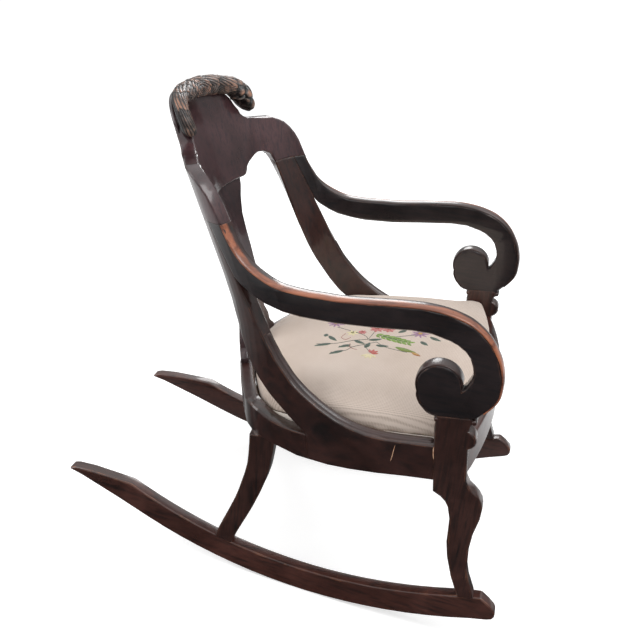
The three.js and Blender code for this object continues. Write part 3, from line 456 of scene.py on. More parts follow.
COPPER = srgb(196, 126, 84)
GREEN = srgb(98, 120, 106)
DEEP_GREEN = srgb(52, 72, 62)
BRIGHT_GREEN = srgb(122, 156, 70)
FRESH_GREEN = srgb(150, 184, 96)
OLIVE = srgb(128, 124, 66)
PURPLE = srgb(144, 104, 140)
LILAC = srgb(196, 160, 188)
PINK = srgb(208, 136, 140)
PALE_PINK = srgb(232, 176, 176)
CORAL = srgb(196, 104, 96)
YELLOW = srgb(204, 168, 92)
RUST = srgb(160, 72, 56)
PALE = srgb(232, 224, 172)
CREAM = srgb(238, 222, 188)


class NodeTree:
    """Builds a tree of nodes."""

    def __init__(self, tree):
        self.tree = tree
        self.tree.nodes.clear()

    def add(self, kind, inputs=None, **settings):
        """A node, with its inputs by name or number."""
        made = self.tree.nodes.new(kind)
        for key, value in settings.items():
            setattr(made, key, value)
        for key, value in (inputs or {}).items():
            self.put(made, key, value)
        return made

    def put(self, made, key, value):
        """Links a socket to an input, or sets the input's value."""
        if isinstance(value, bpy.types.NodeSocket):
            self.tree.links.new(value, made.inputs[key])
        else:
            made.inputs[key].default_value = value

    def math(self, operation, one, two=0.0, clamp=False):
        return self.add("ShaderNodeMath", {0: one, 1: two}, operation=operation, use_clamp=clamp).outputs[0]

    def place(self, stretch=(1, 1, 1), turn=(0, 0, 0)):
        """Object coordinates, scaled apart along each axis."""
        where = self.add("ShaderNodeTexCoord").outputs["Object"]
        inputs = {"Vector": where, "Scale": stretch, "Rotation": turn}
        return self.add("ShaderNodeMapping", inputs).outputs[0]

    def cloud(self, where, scale, detail=4.0, roughness=0.55, distortion=0.0):
        """Soft noise."""
        return self.add("ShaderNodeTexNoise", {
            "Vector": where, "Scale": scale, "Detail": detail, "Roughness": roughness,
            "Distortion": distortion,
        }).outputs[0]

    def wave(self, where, scale, distortion, detail=2.0, direction="X"):
        """Soft bands across one direction."""
        return self.add("ShaderNodeTexWave", {
            "Vector": where, "Scale": scale, "Distortion": distortion, "Detail": detail,
        }, bands_direction=direction).outputs["Fac"]

    def bump(self, height, strength, depth, **inputs):
        """A normal bent by a height; the depth is in millimetres."""
        inputs.update(Height=height, Strength=strength, Distance=depth * MM)
        return self.add("ShaderNodeBump", inputs).outputs[0]

    def scaled(self, colour, share):
        return self.add("ShaderNodeVectorMath", {0: colour, 3: share}, operation="SCALE").outputs[0]

    def ramp(self, value, *stops):
        """A colour by value, from stops of position and colour."""
        made = self.add("ShaderNodeValToRGB", {0: value})
        elements = made.color_ramp.elements
        while len(elements) < len(stops):
            elements.new(1)
        for element, (position, colour) in zip(elements, stops):
            element.position = position
            element.color = colour
        return made.outputs[0]

    def mix(self, share, one, two):
        return self.add("ShaderNodeMix", {0: share, 6: one, 7: two}, data_type="RGBA").outputs[2]

    def spread(self, value, from_low, from_high, to_low=0.0, to_high=1.0):
        """A value from one range spread over another."""
        return self.add("ShaderNodeMapRange", {
            0: value, 1: from_low, 2: from_high, 3: to_low, 4: to_high,
        }).outputs[0]


class Shader(NodeTree):
    """One material, with one surface."""

    def __init__(self, name):
        self.material = bpy.data.materials.new(name)
        self.material.use_nodes = True
        super().__init__(self.material.node_tree)
        self.surface = self.add("ShaderNodeBsdfPrincipled")
        self.add("ShaderNodeOutputMaterial", {0: self.surface.outputs[0]})

    def finish(self, **values):
        """The material, once its surface's inputs are set; underscores stand for spaces."""
        for key, value in values.items():
            self.put(self.surface, key.replace("_", " "), value)
        return self.material


def mahogany(name, grain, dark, warm, wear, rounding):
    """Old polished mahogany: streaked grain, patchy varnish, scratches and rubbed edges."""
    s = Shader(name)
    streaks = s.cloud(s.place(grain), 1.0, 7.0, 0.62, 0.35)
    pores = s.cloud(s.place(tuple(6 * g for g in grain)), 1.0, 3.0, 0.7)
    plain = s.place()
    patches = s.cloud(plain, 9.0, 5.0, 0.6, 0.6)
    rubbed = s.cloud(plain, 34.0, 6.0, 0.7)
    wood = s.ramp(streaks, (0.3, dark), (0.54, warm), (0.74, dark))
    varnished = s.scaled(wood, s.spread(patches, 0.32, 0.68, 0.6, 1.35))

    # Rubbed edges: where the rounded normal leaves the face's own normal
    flat = s.add("ShaderNodeNewGeometry").outputs["True Normal"]
    rounded = s.add("ShaderNodeBevel", {"Radius": rounding * MM}, samples=6).outputs[0]
    narrow = s.add("ShaderNodeBevel", {"Radius": RUBBED_EDGE * MM}, samples=6).outputs[0]
    agree = s.add("ShaderNodeVectorMath", {0: narrow, 1: flat}, operation="DOT_PRODUCT").outputs["Value"]
    edge = s.spread(agree, 0.97, 0.84)
    edge = s.math("MULTIPLY", edge, s.spread(rubbed, 0.46, 0.64, 0.02, wear), True)
    worn_wood = s.mix(s.spread(streaks, 0.3, 0.7), COPPER, tuple(0.6 * c for c in COPPER[:3]) + (1,))
    colour = s.mix(edge, varnished, worn_wood)

    scratches = s.cloud(s.place((18, 420, 380), (0.5, 0.25, 0.9)), 1.0, 2.0, 0.4)
    marks = s.math("MULTIPLY", s.spread(scratches, 0.7, 0.8), s.spread(rubbed, 0.5, 0.7, 0.0, 0.45), True)
    colour = s.mix(marks, colour, COPPER)
    roughness = s.math("ADD", s.spread(patches, 0.3, 0.7, 0.22, 0.36), s.math("MULTIPLY", pores, 0.1))
    roughness = s.math("ADD", roughness, s.math("MULTIPLY", edge, 0.12), True)
    relief = s.math("ADD", s.math("MULTIPLY", pores, 0.6), s.math("MULTIPLY", patches, 0.4))
    return s.finish(
        Base_Color=colour, Roughness=roughness, Coat_Weight=0.8, Coat_Roughness=0.12,
        Normal=s.bump(relief, 0.18, POLISH_DEPTH, Normal=rounded),
    )


def arm_top():
    """The top of an arm: rubbed to copper on its outer half, dark and glossy on its inner half."""
    s = Shader("mahogany_arm_top")
    across = s.add("ShaderNodeAttribute", attribute_name="across").outputs["Fac"]
    streaks = s.cloud(s.place((70, 12, 50)), 1.0, 7.0, 0.62, 0.8)
    patches = s.cloud(s.place(), 14.0, 6.0, 0.65)
    reach = s.math("ADD", across, s.spread(patches, 0.3, 0.7, -0.16, 0.16))
    rubbed = s.spread(reach, 0.62, 0.42)
    rubbed = s.math("MULTIPLY", rubbed, s.spread(streaks, 0.25, 0.55, 0.55, 1.0), True)
    dark = s.ramp(streaks, (0.3, srgb(30, 21, 22)), (0.6, srgb(66, 44, 40)))
    copper = s.ramp(streaks, (0.3, srgb(104, 56, 40)), (0.64, srgb(174, 106, 74)))
    return s.finish(
        Base_Color=s.mix(rubbed, dark, copper), Normal=s.bump(streaks, 0.2, GRAIN_DEPTH),
        Coat_Weight=0.5, Coat_Roughness=0.12, Roughness=s.spread(patches, 0.3, 0.7, 0.24, 0.4),
    )


def carved_wood():
    """The carving: painted shade makes its hollows nearly black; its ridges carry rubbed copper wear and a
    painted highlight.
    """
    s = Shader("carved_mahogany")
    plain = s.place()
    patches = s.cloud(plain, 46.0, 5.0, 0.65)
    height = s.add("ShaderNodeAttribute", attribute_name="relief").outputs["Fac"]
    # Ridges are lightened to copper where the patches allow: rubbed wear and a painted highlight.
    ridge_wear_and_highlight = s.math("MULTIPLY", s.spread(height, 0.62, 0.92), s.spread(patches, 0.44, 0.6, 0.0, 1.0), True)
    # Nearly black in the hollows and greyer on the heights of the relief: painted shade and a painted
    # highlight.
    body = s.ramp(height, (0.3, srgb(9, 8, 8)), (0.6, srgb(38, 31, 30)), (0.95, srgb(104, 92, 86)))
    colour = s.mix(s.math("MULTIPLY", ridge_wear_and_highlight, 0.85), body, srgb(186, 132, 104))
    fine = s.cloud(plain, 420.0, 3.0, 0.6)
    return s.finish(
        Base_Color=colour, Normal=s.bump(fine, 0.3, GRAIN_DEPTH), Coat_Weight=0.25,
        Coat_Roughness=0.28, Roughness=s.spread(patches, 0.3, 0.7, 0.36, 0.5),
    )


def needlework():
    """Beige needlepoint canvas: rows of small stitches, a little uneven in tone."""
    s = Shader("needlework")
    canvas = s.place(turn=(0, 0, 0.05))
    scale = 1 / (WEAVE_PITCH * MM * math.pi)
    across = s.wave(canvas, scale, 0.6, 1.0)
    along = s.wave(canvas, scale * 0.8, 0.8, 1.0, "Y")
    plain = s.place()
    tone = s.cloud(plain, 6.0, 4.0, 0.6)
    fuzz = s.cloud(plain, 900.0, 2.0, 0.6)
    stitch = s.math("ADD", s.math("MULTIPLY", across, 0.6), s.math("MULTIPLY", along, 0.4))
    base = s.mix(s.spread(tone, 0.35, 0.65), srgb(214, 196, 182), srgb(230, 214, 202))
    # The grooves between the stitches are darkened: painted shade.
    shaded_grooves = s.mix(s.spread(stitch, 0.1, 0.5, 0.8, 0.0), base, srgb(176, 156, 140))
    colour = s.mix(s.spread(fuzz, 0.45, 0.75, 0.0, 0.3), shaded_grooves, srgb(236, 226, 216))
    height = s.math("ADD", stitch, s.math("MULTIPLY", fuzz, 0.35))
    return s.finish(
        Base_Color=colour, Normal=s.bump(height, 0.5, WEAVE_DEPTH), Roughness=0.95,
        Sheen_Weight=0.25, Sheen_Roughness=0.5, Specular_IOR_Level=0.2,
    )


def thread():
    """Wool stitches of the flowers, coloured by the mesh."""
    s = Shader("embroidery")
    paint = s.add("ShaderNodeAttribute", attribute_name="paint").outputs["Color"]
    rows = s.wave(s.place(turn=(0, 0, 0.7)), 1 / (THREAD_PITCH * MM * math.pi), 1.5, 1.0)
    fuzz = s.cloud(s.place(), 700.0, 3.0, 0.7)
    # Darker between the rows of stitches: painted shade.
    colour = s.mix(s.spread(rows, 0.0, 0.5, 0.6, 0.0), paint, s.scaled(paint, 0.62))
    colour = s.mix(s.spread(fuzz, 0.5, 0.8, 0.0, 0.35), colour, srgb(226, 214, 200))
    return s.finish(
        Base_Color=colour, Normal=s.bump(rows, 0.5, THREAD_DEPTH), Roughness=0.9,
        Sheen_Weight=0.3, Specular_IOR_Level=0.2,
    )


def raw_wood():
    """Unpolished secondary wood of the seat frame, blocks and dowels."""
    s = Shader("inner_wood")
    streaks = s.cloud(s.place((70, 9, 70)), 1.0, 6.0, 0.6, 0.7)
    fine = s.cloud(s.place((500, 60, 500)), 1.0, 2.0)
    colour = s.ramp(streaks, (0.3, srgb(70, 50, 34)), (0.55, srgb(112, 84, 58)), (0.75, srgb(84, 60, 42)))
    roughness = s.spread(streaks, 0.3, 0.7, 0.62, 0.8)
    return s.finish(Base_Color=colour, Normal=s.bump(fine, 0.4, GRAIN_DEPTH), Roughness=roughness)


def webbing():
    """Jute webbing: a coarse basket weave."""
    s = Shader("jute")
    weave = s.math("MULTIPLY", s.wave(s.place(), 110.0, 1.0), s.wave(s.place(), 110.0, 1.0, direction="Y"))
    # Darker in the low gaps of the weave: painted shade.
    colour = s.ramp(weave, (0.0, srgb(104, 80, 52)), (0.7, srgb(178, 148, 104)))
    return s.finish(Base_Color=colour, Normal=s.bump(weave, 0.7, JUTE_DEPTH), Roughness=0.95)


def black_cloth():
    """Thin woven dust cover under the seat."""
    s = Shader("black_cloth")
    weave = s.wave(s.place(), 260.0, 0.8, direction="DIAGONAL")
    lint = s.cloud(s.place(), 60.0, 5.0, 0.7)
    colour = s.mix(s.spread(lint, 0.5, 0.75, 0.0, 0.6), srgb(30, 29, 28), srgb(74, 70, 66))
    return s.finish(
        Base_Color=colour, Normal=s.bump(weave, 0.4, LINING_DEPTH),
        Roughness=0.9, Sheen_Weight=0.3,
    )


def screw_steel():
    """Old screws: dull steel with brown stains."""
    s = Shader("steel")
    stains = s.cloud(s.place(), 380.0, 5.0, 0.7)
    colour = s.mix(s.spread(stains, 0.45, 0.7), srgb(120, 118, 114), srgb(92, 66, 48))
    return s.finish(Base_Color=colour, Roughness=s.spread(stains, 0.35, 0.7, 0.35, 0.7), Metallic=0.85)


def rounding_group():
    """Geometry nodes that shade smooth all edges but the sharp ones."""
    group = bpy.data.node_groups.new("smooth_shading", "GeometryNodeTree")
    for direction in ("INPUT", "OUTPUT"):
        group.interface.new_socket("Geometry", in_out=direction, socket_type="NodeSocketGeometry")
    g = NodeTree(group)
    start = g.add("NodeGroupInput").outputs[0]
    angle = g.add("GeometryNodeInputMeshEdgeAngle").outputs[0]
    sharp = g.add("FunctionNodeCompare", {0: angle, 1: SHARP_ANGLE}, operation="GREATER_THAN").outputs[0]
    faces = g.add("GeometryNodeSetShadeSmooth", {"Geometry": start}).outputs[0]
    edges = g.add("GeometryNodeSetShadeSmooth", {
        "Geometry": faces, "Selection": sharp, "Shade Smooth": False,
    }, domain="EDGE").outputs[0]
    g.add("NodeGroupOutput", {0: edges})
    return group


ROUNDING = rounding_group()


def dress(material, *names):
    """Gives CAD nodes a material and smooth shading, with their sharp edges kept."""
    for name in names:
        made = nodes[name]
        if not made.material_slots:
            made.data.materials.append(material)
        for slot in made.material_slots:
            slot.material = material
        weld = made.modifiers.new("weld", "WELD")
        weld.merge_threshold = WELD_DISTANCE * MM
        shading = made.modifiers.new("smooth_shading", "NODES")
        shading.node_group = ROUNDING
        weights = made.modifiers.new("weighted_normals", "WEIGHTED_NORMAL")
        weights.keep_sharp = True


def dress_solids():
    """Each wood by its grain, dark and warm colours, wear of its edges, their rounding and its pieces."""
    curved = (*pair("side_frame"), "rear_rail")
    legs = pair("front_leg") + pair("rear_leg")
    woods = (
        ("frame", (110, 12, 26), srgb(24, 15, 15), srgb(56, 29, 24), 0.3, 6, curved),
        # Arms: the blue tint is a painted dark reflection, and their tone, darker than the frame's, is
        # partly painted shade.
        ("arms", (140, 12, 110), srgb(20, 20, 24), srgb(40, 30, 31), 0.35, 5, pair("arm")),
        ("crest", (130, 130, 9), srgb(44, 30, 37), srgb(72, 46, 48), 0.15, 4, ["crest_board"]),
        ("splat", (130, 130, 8), srgb(32, 22, 28), srgb(56, 34, 36), 0.15, 4, ["splat"]),
        ("legs", (130, 130, 12), srgb(27, 18, 17), srgb(62, 34, 28), 0.5, 5, legs),
        ("rockers", (140, 10, 110), srgb(34, 20, 18), srgb(76, 41, 33), 0.7, 3, pair("rocker")),
        ("front_rail", (8, 70, 70), srgb(34, 20, 18), srgb(74, 40, 32), 0.4, 4, ["front_rail"]),
    )
    for name, grain, dark, warm, wear, rounding, pieces in woods:
        dress(mahogany(f"mahogany_{name}", grain, dark, warm, wear, rounding), *pieces)
    inner = raw_wood()
    dress(inner, "seat_frame_front", "seat_frame_back", *pair("seat_frame_side"))
    dress(inner, *pair("corner_block_front"), *pair("corner_block_rear"))
    dress(inner, *(name for name in nodes if name.startswith("dowel_")))
    dress(webbing(), "seat_webbing")
    dress(black_cloth(), "seat_dust_cover")
    dress(screw_steel(), *pair("rocker_screw_front"), *pair("rocker_screw_rear"))


# Carved roll of the crest

def arch_line():
    """The arch of the crest: developed length and height, from one springing to the other."""
    angles = np.radians(np.linspace(0, 180, 200))
    power = 2 / ARCH_FULLNESS
    across = np.sign(np.cos(angles)) * np.abs(np.cos(angles)) ** power
    up = np.abs(np.sin(angles)) ** power
    return np.stack([across * ARCH_HALF, CREST_RISE + up * ARCH_RISE], axis=-1)


def roll_section(middle, from_end):
    """Half height, half depth, inset, volute share and wear of the roll at each place."""
    far = smoothstep(middle[:, 0], *FAR_FADE)
    near = smoothstep(-middle[:, 0], *NEAR_FADE)

    # The right volute is worn down to little more than the roll
    volute = 1 - smoothstep(from_end, VOLUTE_PATH / 2, VOLUTE_PATH)
    volute = volute * (WORN_VOLUTE_SHARE + (1 - WORN_VOLUTE_SHARE) * far)
    plump = 1 + ROLL_SWELL_SHARE * far * (1 - volute)
    half_height = ROLL_HALF_HEIGHT * plump + (VOLUTE_HALF_HEIGHT - ROLL_HALF_HEIGHT) * volute
    half_depth = ROLL_HALF_DEPTH + (VOLUTE_HALF_DEPTH - ROLL_HALF_DEPTH) * volute
    half_height *= 1 - (1 - RIGHT_HEIGHT_SHARE) * near
    half_depth *= 1 - (1 - RIGHT_DEPTH_SHARE) * near
    inset = ROLL_INSET * (1 - (1 - RIGHT_INSET_SHARE) * near)
    return [value[:, None] for value in (half_height, half_depth, inset, volute, near)]


def carved_roll():
    """The carved roll along the crest, swelling into a volute at each end."""
    line = through([(ARCH_HALF * a, CREST_RISE + ARCH_RISE * b) for a, b in ROLL_SHARES])[::-1]
    total = run(line)[-1]
    tips = total * np.array(TIP_SHARES)
    body = np.linspace(total * BODY_START_SHARE, total * (1 - BODY_START_SHARE), ROLL_RINGS)
    where = np.concatenate([tips, body, total - tips[::-1]])
    closing = np.concatenate([CLOSING_SHARES, np.ones(ROLL_RINGS), CLOSING_SHARES[::-1]])[:, None]
    middle = sample(line, where)
    along = headings_at(line, where, ROLL_REACH)
    from_end = np.minimum(where, total - where)
    half_height, half_depth, inset, volute, near = roll_section(middle, from_end)
    angle = round_angles(ROLL_SIDES)
    relief = leaf_relief(total / 2 - where, angle)
    relief = relief * (1 - volute) + boss_relief(from_end, angle) * volute

    # The back of the roll is plain
    plain = smoothstep(np.cos(angle), -0.35, -0.85) * (1 - volute)
    relief = relief * (1 - plain) + 0.4 * plain
    depth = CARVING_DEPTH * (relief - 0.6) * closing * (1 - 0.3 * near)
    out = np.sin(angle) * (half_height * closing + depth)
    deep = np.cos(angle) * (half_depth * closing + depth)
    lengths = middle[:, :1] + along[:, 1:] * out
    heights = middle[:, 1:] - along[:, :1] * out
    points, faces = skin(on_panel(lengths, inset + VOLUTE_FORWARD * volute + deep, heights))
    roll = outward(new_object("crest_carving", points, faces))
    mark(roll, "relief", [*relief.reshape(-1), 0.5, 0.5])
    roll.data.materials.append(carved_wood())
    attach(roll, "chair")
    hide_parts("crest_roll")


def leaf_relief(from_middle, angle):
    """Long overlapping leaves that flow to both ends, each a fan of narrow curling ribs."""
    away = np.abs(from_middle)[:, None]
    up = angle - math.pi / 2
    curl = 0.5 * np.sin(away / CURL_WAVE + 2.1 * up)
    step = away / LEAF_PITCH - 0.3 * np.cos(up - 0.5) + 0.16 * np.sin(2.3 * up + away / LEAF_WAVE)
    grown = step - np.floor(step)
    overlap = grown ** 0.7 * (1 - smoothstep(grown, 0.9, 1.0))
    fan = 9.5 * up * (1 - 0.35 * grown) + 1.9 * np.floor(step) + curl + away / RIB_WAVE
    ribs = np.abs(np.cos(fan)) ** 0.7
    veins = np.abs(np.cos(2.1 * fan + away / VEIN_WAVE))
    lobes = np.abs(np.cos(away / LOBE_WAVE + 1.7 * up)) ** 0.5
    return 0.3 * overlap + 0.42 * ribs + 0.14 * veins + 0.14 * lobes


def boss_relief(from_end, angle):
    """Rounded bosses about the end of a volute."""
    reached = (from_end[:, None] + BOSS_START) / BOSS_PITCH
    ring = np.abs(np.cos(math.pi * reached)) ** 0.55
    lobes = np.abs(np.cos(3 * angle + np.floor(reached + 0.5) * 1.4)) ** 0.55
    return 0.1 + 0.9 * ring * lobes


def crest_rim():
    """The plain bead along the rear edge of the crest, behind the carving."""
    line = arch_line()[RIM_ENDS:-RIM_ENDS]
    angle = round_angles(14)
    done = np.linspace(0, 1, len(line))[:, None]
    size = RIM_RADIUS * np.minimum(1, 0.2 + 12 * np.minimum(done, 1 - done))
    wood = nodes["crest_board"].material_slots[0].material
    swept("crest_rim", line, np.cos(angle) * size - RIM_SUNK, RIM_INSET + np.sin(angle) * size, wood)


# Seat cushion

def seat_outline(margin, overhang=0.0):
    """The cushion's outline, seen from above; its front may stand over the front rail."""
    inset = BOARD + SEAT_CLEARANCE + margin
    depth = FRONT_RAIL_THICKNESS + SEAT_CLEARANCE + margin - overhang
    half = HALF_WIDTH - inset
    side = DATUM_LENGTH - float(front_face(half)) - depth
    lengths = np.linspace(-side, side, BACK_POINTS)
    back = plan_at(lengths, np.full_like(lengths, inset))
    x = np.linspace(half, -half, FRONT_POINTS)[1:-1]
    front = np.stack([x, front_face(x) + depth], axis=-1)
    return np.vstack([back, front])


def pad_form():
    """A crowned pad in the drawing frame: rings of its outline, shrinking upwards."""
    centre = np.array([0, SEAT_MIDDLE])
    levels = [
        (1, 0, 0),
        (1, PAD_RIM * 0.25, 0),
        (1, PAD_RIM * 0.5, PAD_OVERHANG * 0.6),
        (1, PAD_RIM, PAD_OVERHANG),
    ]
    levels += [(share, PAD_RIM + PAD_CROWN * rise, PAD_OVERHANG) for share, rise in CROWN_SHARES]
    rings = []
    for share, rise, overhang in levels:
        spot = centre + (seat_outline(PAD_MARGIN, overhang) - centre) * share
        rings.append(in_frame(spot[:, 0], spot[:, 1], PAD_BOTTOM + rise))
    return skin(np.array(rings))


def swell(made):
    """Lets the pad fill out as cloth under pressure; its base stays put."""
    held = made.vertex_groups.new(name="held")
    rest = np.array([v.co for v in made.data.vertices])
    base = rest[:, 2] * math.cos(REST_TILT) + rest[:, 1] * math.sin(REST_TILT)
    floor = base.min() + PAD_HELD * MM
    held.add([i for i, height in enumerate(base) if height < floor], 1.0, "REPLACE")
    cloth = made.modifiers.new("cloth", "CLOTH")
    cloth.settings.use_pressure = True
    cloth.settings.uniform_pressure_force = PAD_PRESSURE
    cloth.settings.vertex_group_mass = "held"
    cloth.settings.effector_weights.gravity = 0
    scene = bpy.context.scene
    scene.frame_start = 1
    scene.frame_end = FILL_FRAMES
    for number in range(1, FILL_FRAMES + 1):
        scene.frame_set(number)
    depsgraph = bpy.context.evaluated_depsgraph_get()
    filled = np.array([v.co for v in made.evaluated_get(depsgraph).data.vertices])
    made.modifiers.remove(cloth)
    scene.frame_set(1)
    moved = filled - rest
    far = np.linalg.norm(moved, axis=1, keepdims=True)
    moved *= np.minimum(1, PAD_SWELL * MM / np.maximum(far, TINY))
    beside = np.linalg.norm(moved[:, :2], axis=1, keepdims=True)
    moved[:, :2] *= np.minimum(1, PAD_SPREAD * MM / np.maximum(beside, TINY))
    made.data.vertices.foreach_set("co", (rest + moved).reshape(-1))
    made.vertex_groups.clear()
    made.data.update()


def cushion():
    """The needlework cushion, filled out by cloth and finely smoothed."""
    points, faces = pad_form()
    pad = outward(new_object("seat_cushion", points, faces))
    pad.data.remesh_voxel_size = PAD_VOXEL * MM
    bpy.ops.object.voxel_remesh()
    swell(pad)
    pad.data.shade_smooth()
    ease = pad.modifiers.new("ease", "SMOOTH")
    ease.iterations = 14
    ease.factor = 0.5
    finer = pad.modifiers.new("finer", "SUBSURF")
    finer.levels = 1
    finer.render_levels = 1
    pad.data.materials.clear()
    pad.data.materials.append(needlework())
    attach(pad, "seat")
    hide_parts("seat_pad")
    return pad


def cover_edge():
    """The cover where it wraps down over the sides of the drop-in seat's frame."""
    outer = seat_outline(-COVER_STAND)
    inner = seat_outline(COVER_THICKNESS - COVER_STAND)
    top = PAD_BOTTOM + COVER_LAP
    corners = ((outer, FRAME_BOTTOM), (outer, top), (inner, top), (inner, FRAME_BOTTOM))
    rings = np.array([in_frame(spot[:, 0], spot[:, 1], height) for spot, height in corners])
    faces = bands(len(corners), rings.shape[1], joined=True)
    edge = outward(new_object("seat_cover_edge", rings.reshape(-1, 3), faces))
    edge.data.materials.append(bpy.data.materials["needlework"])
    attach(edge, "seat")


# Embroidered spray

class Stitches:
    """Collects small raised patches that lie on the cushion."""

    def __init__(self, cushion_object):
        depsgraph = bpy.context.evaluated_depsgraph_get()
        self.ground = BVHTree.FromObject(cushion_object, depsgraph)
        self.points, self.faces, self.paint = [], [], []

    def laid(self, x, y, lift):
        """The cushion's surface at a place in millimetres, raised by a lift."""
        hit = self.ground.ray_cast(Vector((x * MM, y * MM, OVERHEAD * MM)), Vector((0, 0, -1)))
        return hit[0] + hit[1] * (lift * MM)

    def patch(self, grid, heights, colours):
        """A raised patch over a grid of places; its edges dip below the cover."""
        rows, columns = len(grid), len(grid[0])
        start = len(self.points)
        for places, lifts, tints in zip(grid, heights, colours):
            self.points += [self.laid(*spot, lift) for spot, lift in zip(places, lifts)]
            self.paint += tints
        for r in range(rows - 1):
            for c in range(columns - 1):
                a = start + r * columns + c
                self.faces.append((a, a + 1, a + columns + 1, a + columns))

    def leaf(self, x, y, length, width, heading, inner, outer, bend=0.0, lift=PETAL_LIFT):
        """A pointed leaf or petal from its foot, heading in degrees."""
        foot = np.add((x, y), SPRAY_PLACE)
        inner, outer = np.array(inner), np.array(outer)
        across = (-1, -0.5, 0, 0.5, 1)
        grid, heights, colours = [], [], []
        for t in np.linspace(0, 1, 9):
            angle = math.radians(heading + bend * t)
            ahead = np.array([math.cos(angle), math.sin(angle)])
            aside = np.array([-math.sin(angle), math.cos(angle)])
            half = width / 2 * math.sin(math.pi * t ** 0.85) ** 1.05 if 0 < t < 1 else 0.0
            grid.append([foot + ahead * length * t + aside * half * v for v in across])
            end = t in (0, 1)
            lifts = [-PETAL_DIP if end or abs(v) == 1 else lift * (1 - 0.35 * abs(v)) for v in across]
            heights.append(lifts)
            colours.append([inner + (outer - inner) * (0.25 + 0.75 * t if v else 0) for v in across])
        self.patch(grid, heights, colours)

    def stem(self, places, width, colour):
        """A thin line of stitches through places."""
        line = through(places, 8) + SPRAY_PLACE
        grid, heights, colours = [], [], []
        for (px, py), (dx, dy) in zip(line, headings(line)):
            grid.append([(px - dy * width * k / 2, py + dx * width * k / 2) for k in (-1, 0, 1)])
            heights.append([-STEM_DIP, STEM_LIFT, -STEM_DIP])
            colours.append([colour] * 3)
        self.patch(grid, heights, colours)

    def flower(self, x, y, size, petals, inner, outer, heart, turn, narrow):
        """A ring of petals round a heart; narrow is a petal's width as a share of its length."""
        for i in range(petals):
            heading = turn + 360 * i / petals
            self.leaf(x, y, size, size * narrow, heading, inner, outer, bend=8)
        for i in range(6):
            self.leaf(x, y, size * 0.3, size * 0.2, turn + 60 * i, heart, heart, lift=HEART_LIFT)

    def between(self, start, end, width, inner, outer, bend=0.0):
        """A leaf from one place to another."""
        dx, dy = np.subtract(end, start)
        self.leaf(*start, math.hypot(dx, dy), width, math.degrees(math.atan2(dy, dx)), inner, outer, bend)

    def toothed_leaf(self, start, end, width, count):
        """A large toothed leaf: pairs of leaflets along a rib."""
        way = np.subtract(end, start)
        heading = math.degrees(math.atan2(way[1], way[0]))
        for i in range(count):
            t = i / count
            x, y = start + way * t
            long = width * (0.55 + 0.45 * math.sin(math.pi * (t * 0.8 + 0.15)))
            for turn in (-48, 48):
                tint = FRESH_GREEN if (i + (turn > 0)) % 2 else BRIGHT_GREEN
                self.leaf(x, y, long, long / 2, heading + turn, BRIGHT_GREEN, tint, -turn / 3, LEAFLET_LIFT)
        self.between(start, end, width * 0.35, DEEP_GREEN, FRESH_GREEN)

    def finish(self):
        """All the patches as one piece of the seat."""
        made = new_object("seat_embroidery", self.points, self.faces)
        colours = made.data.attributes.new("paint", "FLOAT_COLOR", "POINT")
        colours.data.foreach_set("color", np.array(self.paint).reshape(-1))
        made.data.materials.append(thread())
        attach(made, "seat")


# Places of the spray: stems as points to pass through, leaves from foot to tip, flowers as centres
STALKS = (
    ((-85, -52), (-74, -76), (-57, -88), (-44, -106), (-30, -128)),
    ((-56, -18), (-50, -50), (-38, -72), (-30, -86), (-22, -110)),
    ((-57, -88), (-58, -62)),
    ((-22, -110), (-4, -96), (20, -40)),
    ((-30, -128), (-48, -150), (-60, -190)),
    ((-44, -106), (-60, -116), (-74, -126)),
    ((-22, -110), (20, -116), (70, -112), (108, -96)),
    ((20, -116), (62, -150), (96, -176)),
    ((-6, -150), (8, -184), (16, -204)),
    ((70, -112), (84, -70), (92, -48)),
)
STALK_WIDTH = 1.8
TENDRILS = (((-6, -62), (-22, -58), (-30, -68), (-20, -76)), ((-44, -80), (-60, -84), (-66, -98)))
TENDRIL_WIDTH = 1.5
SLENDER_LEAVES = (
    ((-50, -47), (-60, -12)), ((-73, -76), (-88, -47)), ((-49, -84), (-60, -58)),
    ((-28, -84), (-45, -106)), ((-57, -110), (-34, -120)), ((-24, -110), (-20, -138)),
    ((-42, -128), (-47, -154)), ((-18, -32), (-42, -50)), ((-12, -28), (-24, -24)),
    ((-10, -208), (-28, -222)), ((12, -222), (-6, -244)), ((30, -176), (18, -158)),
    ((84, -128), (112, -134)), ((98, -92), (124, -74)), ((74, -156), (66, -186)),
    ((96, -176), (120, -190)), ((60, -96), (48, -74)), ((104, -60), (120, -36)),
)
SLENDER_WIDTH = 12.5
TOOTHED_LEAVES = (((0, -122), (-25, -196), 19, 7), ((96, -112), (128, -150), 16, 5))
LOOSE_LEAVES = (
    ((66, 2), (56, 30), 12, GREEN, RUST, 0),
    ((70, 0), (58, 14), 7, DEEP_GREEN, GREEN, 0),
    ((-42, -164), (-64, -206), 16, BRIGHT_GREEN, OLIVE, 8),
    ((-44, -170), (-62, -202), 7, OLIVE, YELLOW, 8),
    ((-58, -198), (-70, -218), 11, YELLOW, RUST, 0),
)
ASTERS = ((36, -34, 10), (20, -203, 25), (92, -44, 0))
ASTER_SIZE = 19
ROSES = ((25, -118, 15), (27, -141, 14), (6, -93, 9), (62, -112, 17), (96, -178, 14))
ROSE_HEART_SHARE = 0.62
PRIMROSES = ((-1, -75, 20), (66, -66, 0))
PRIMROSE_SIZE = 13
POPPY = (-74, -126)
POPPY_PETAL = (15, 8)
CALYX = (-78, -125)
CALYX_PETAL = (19, 8)


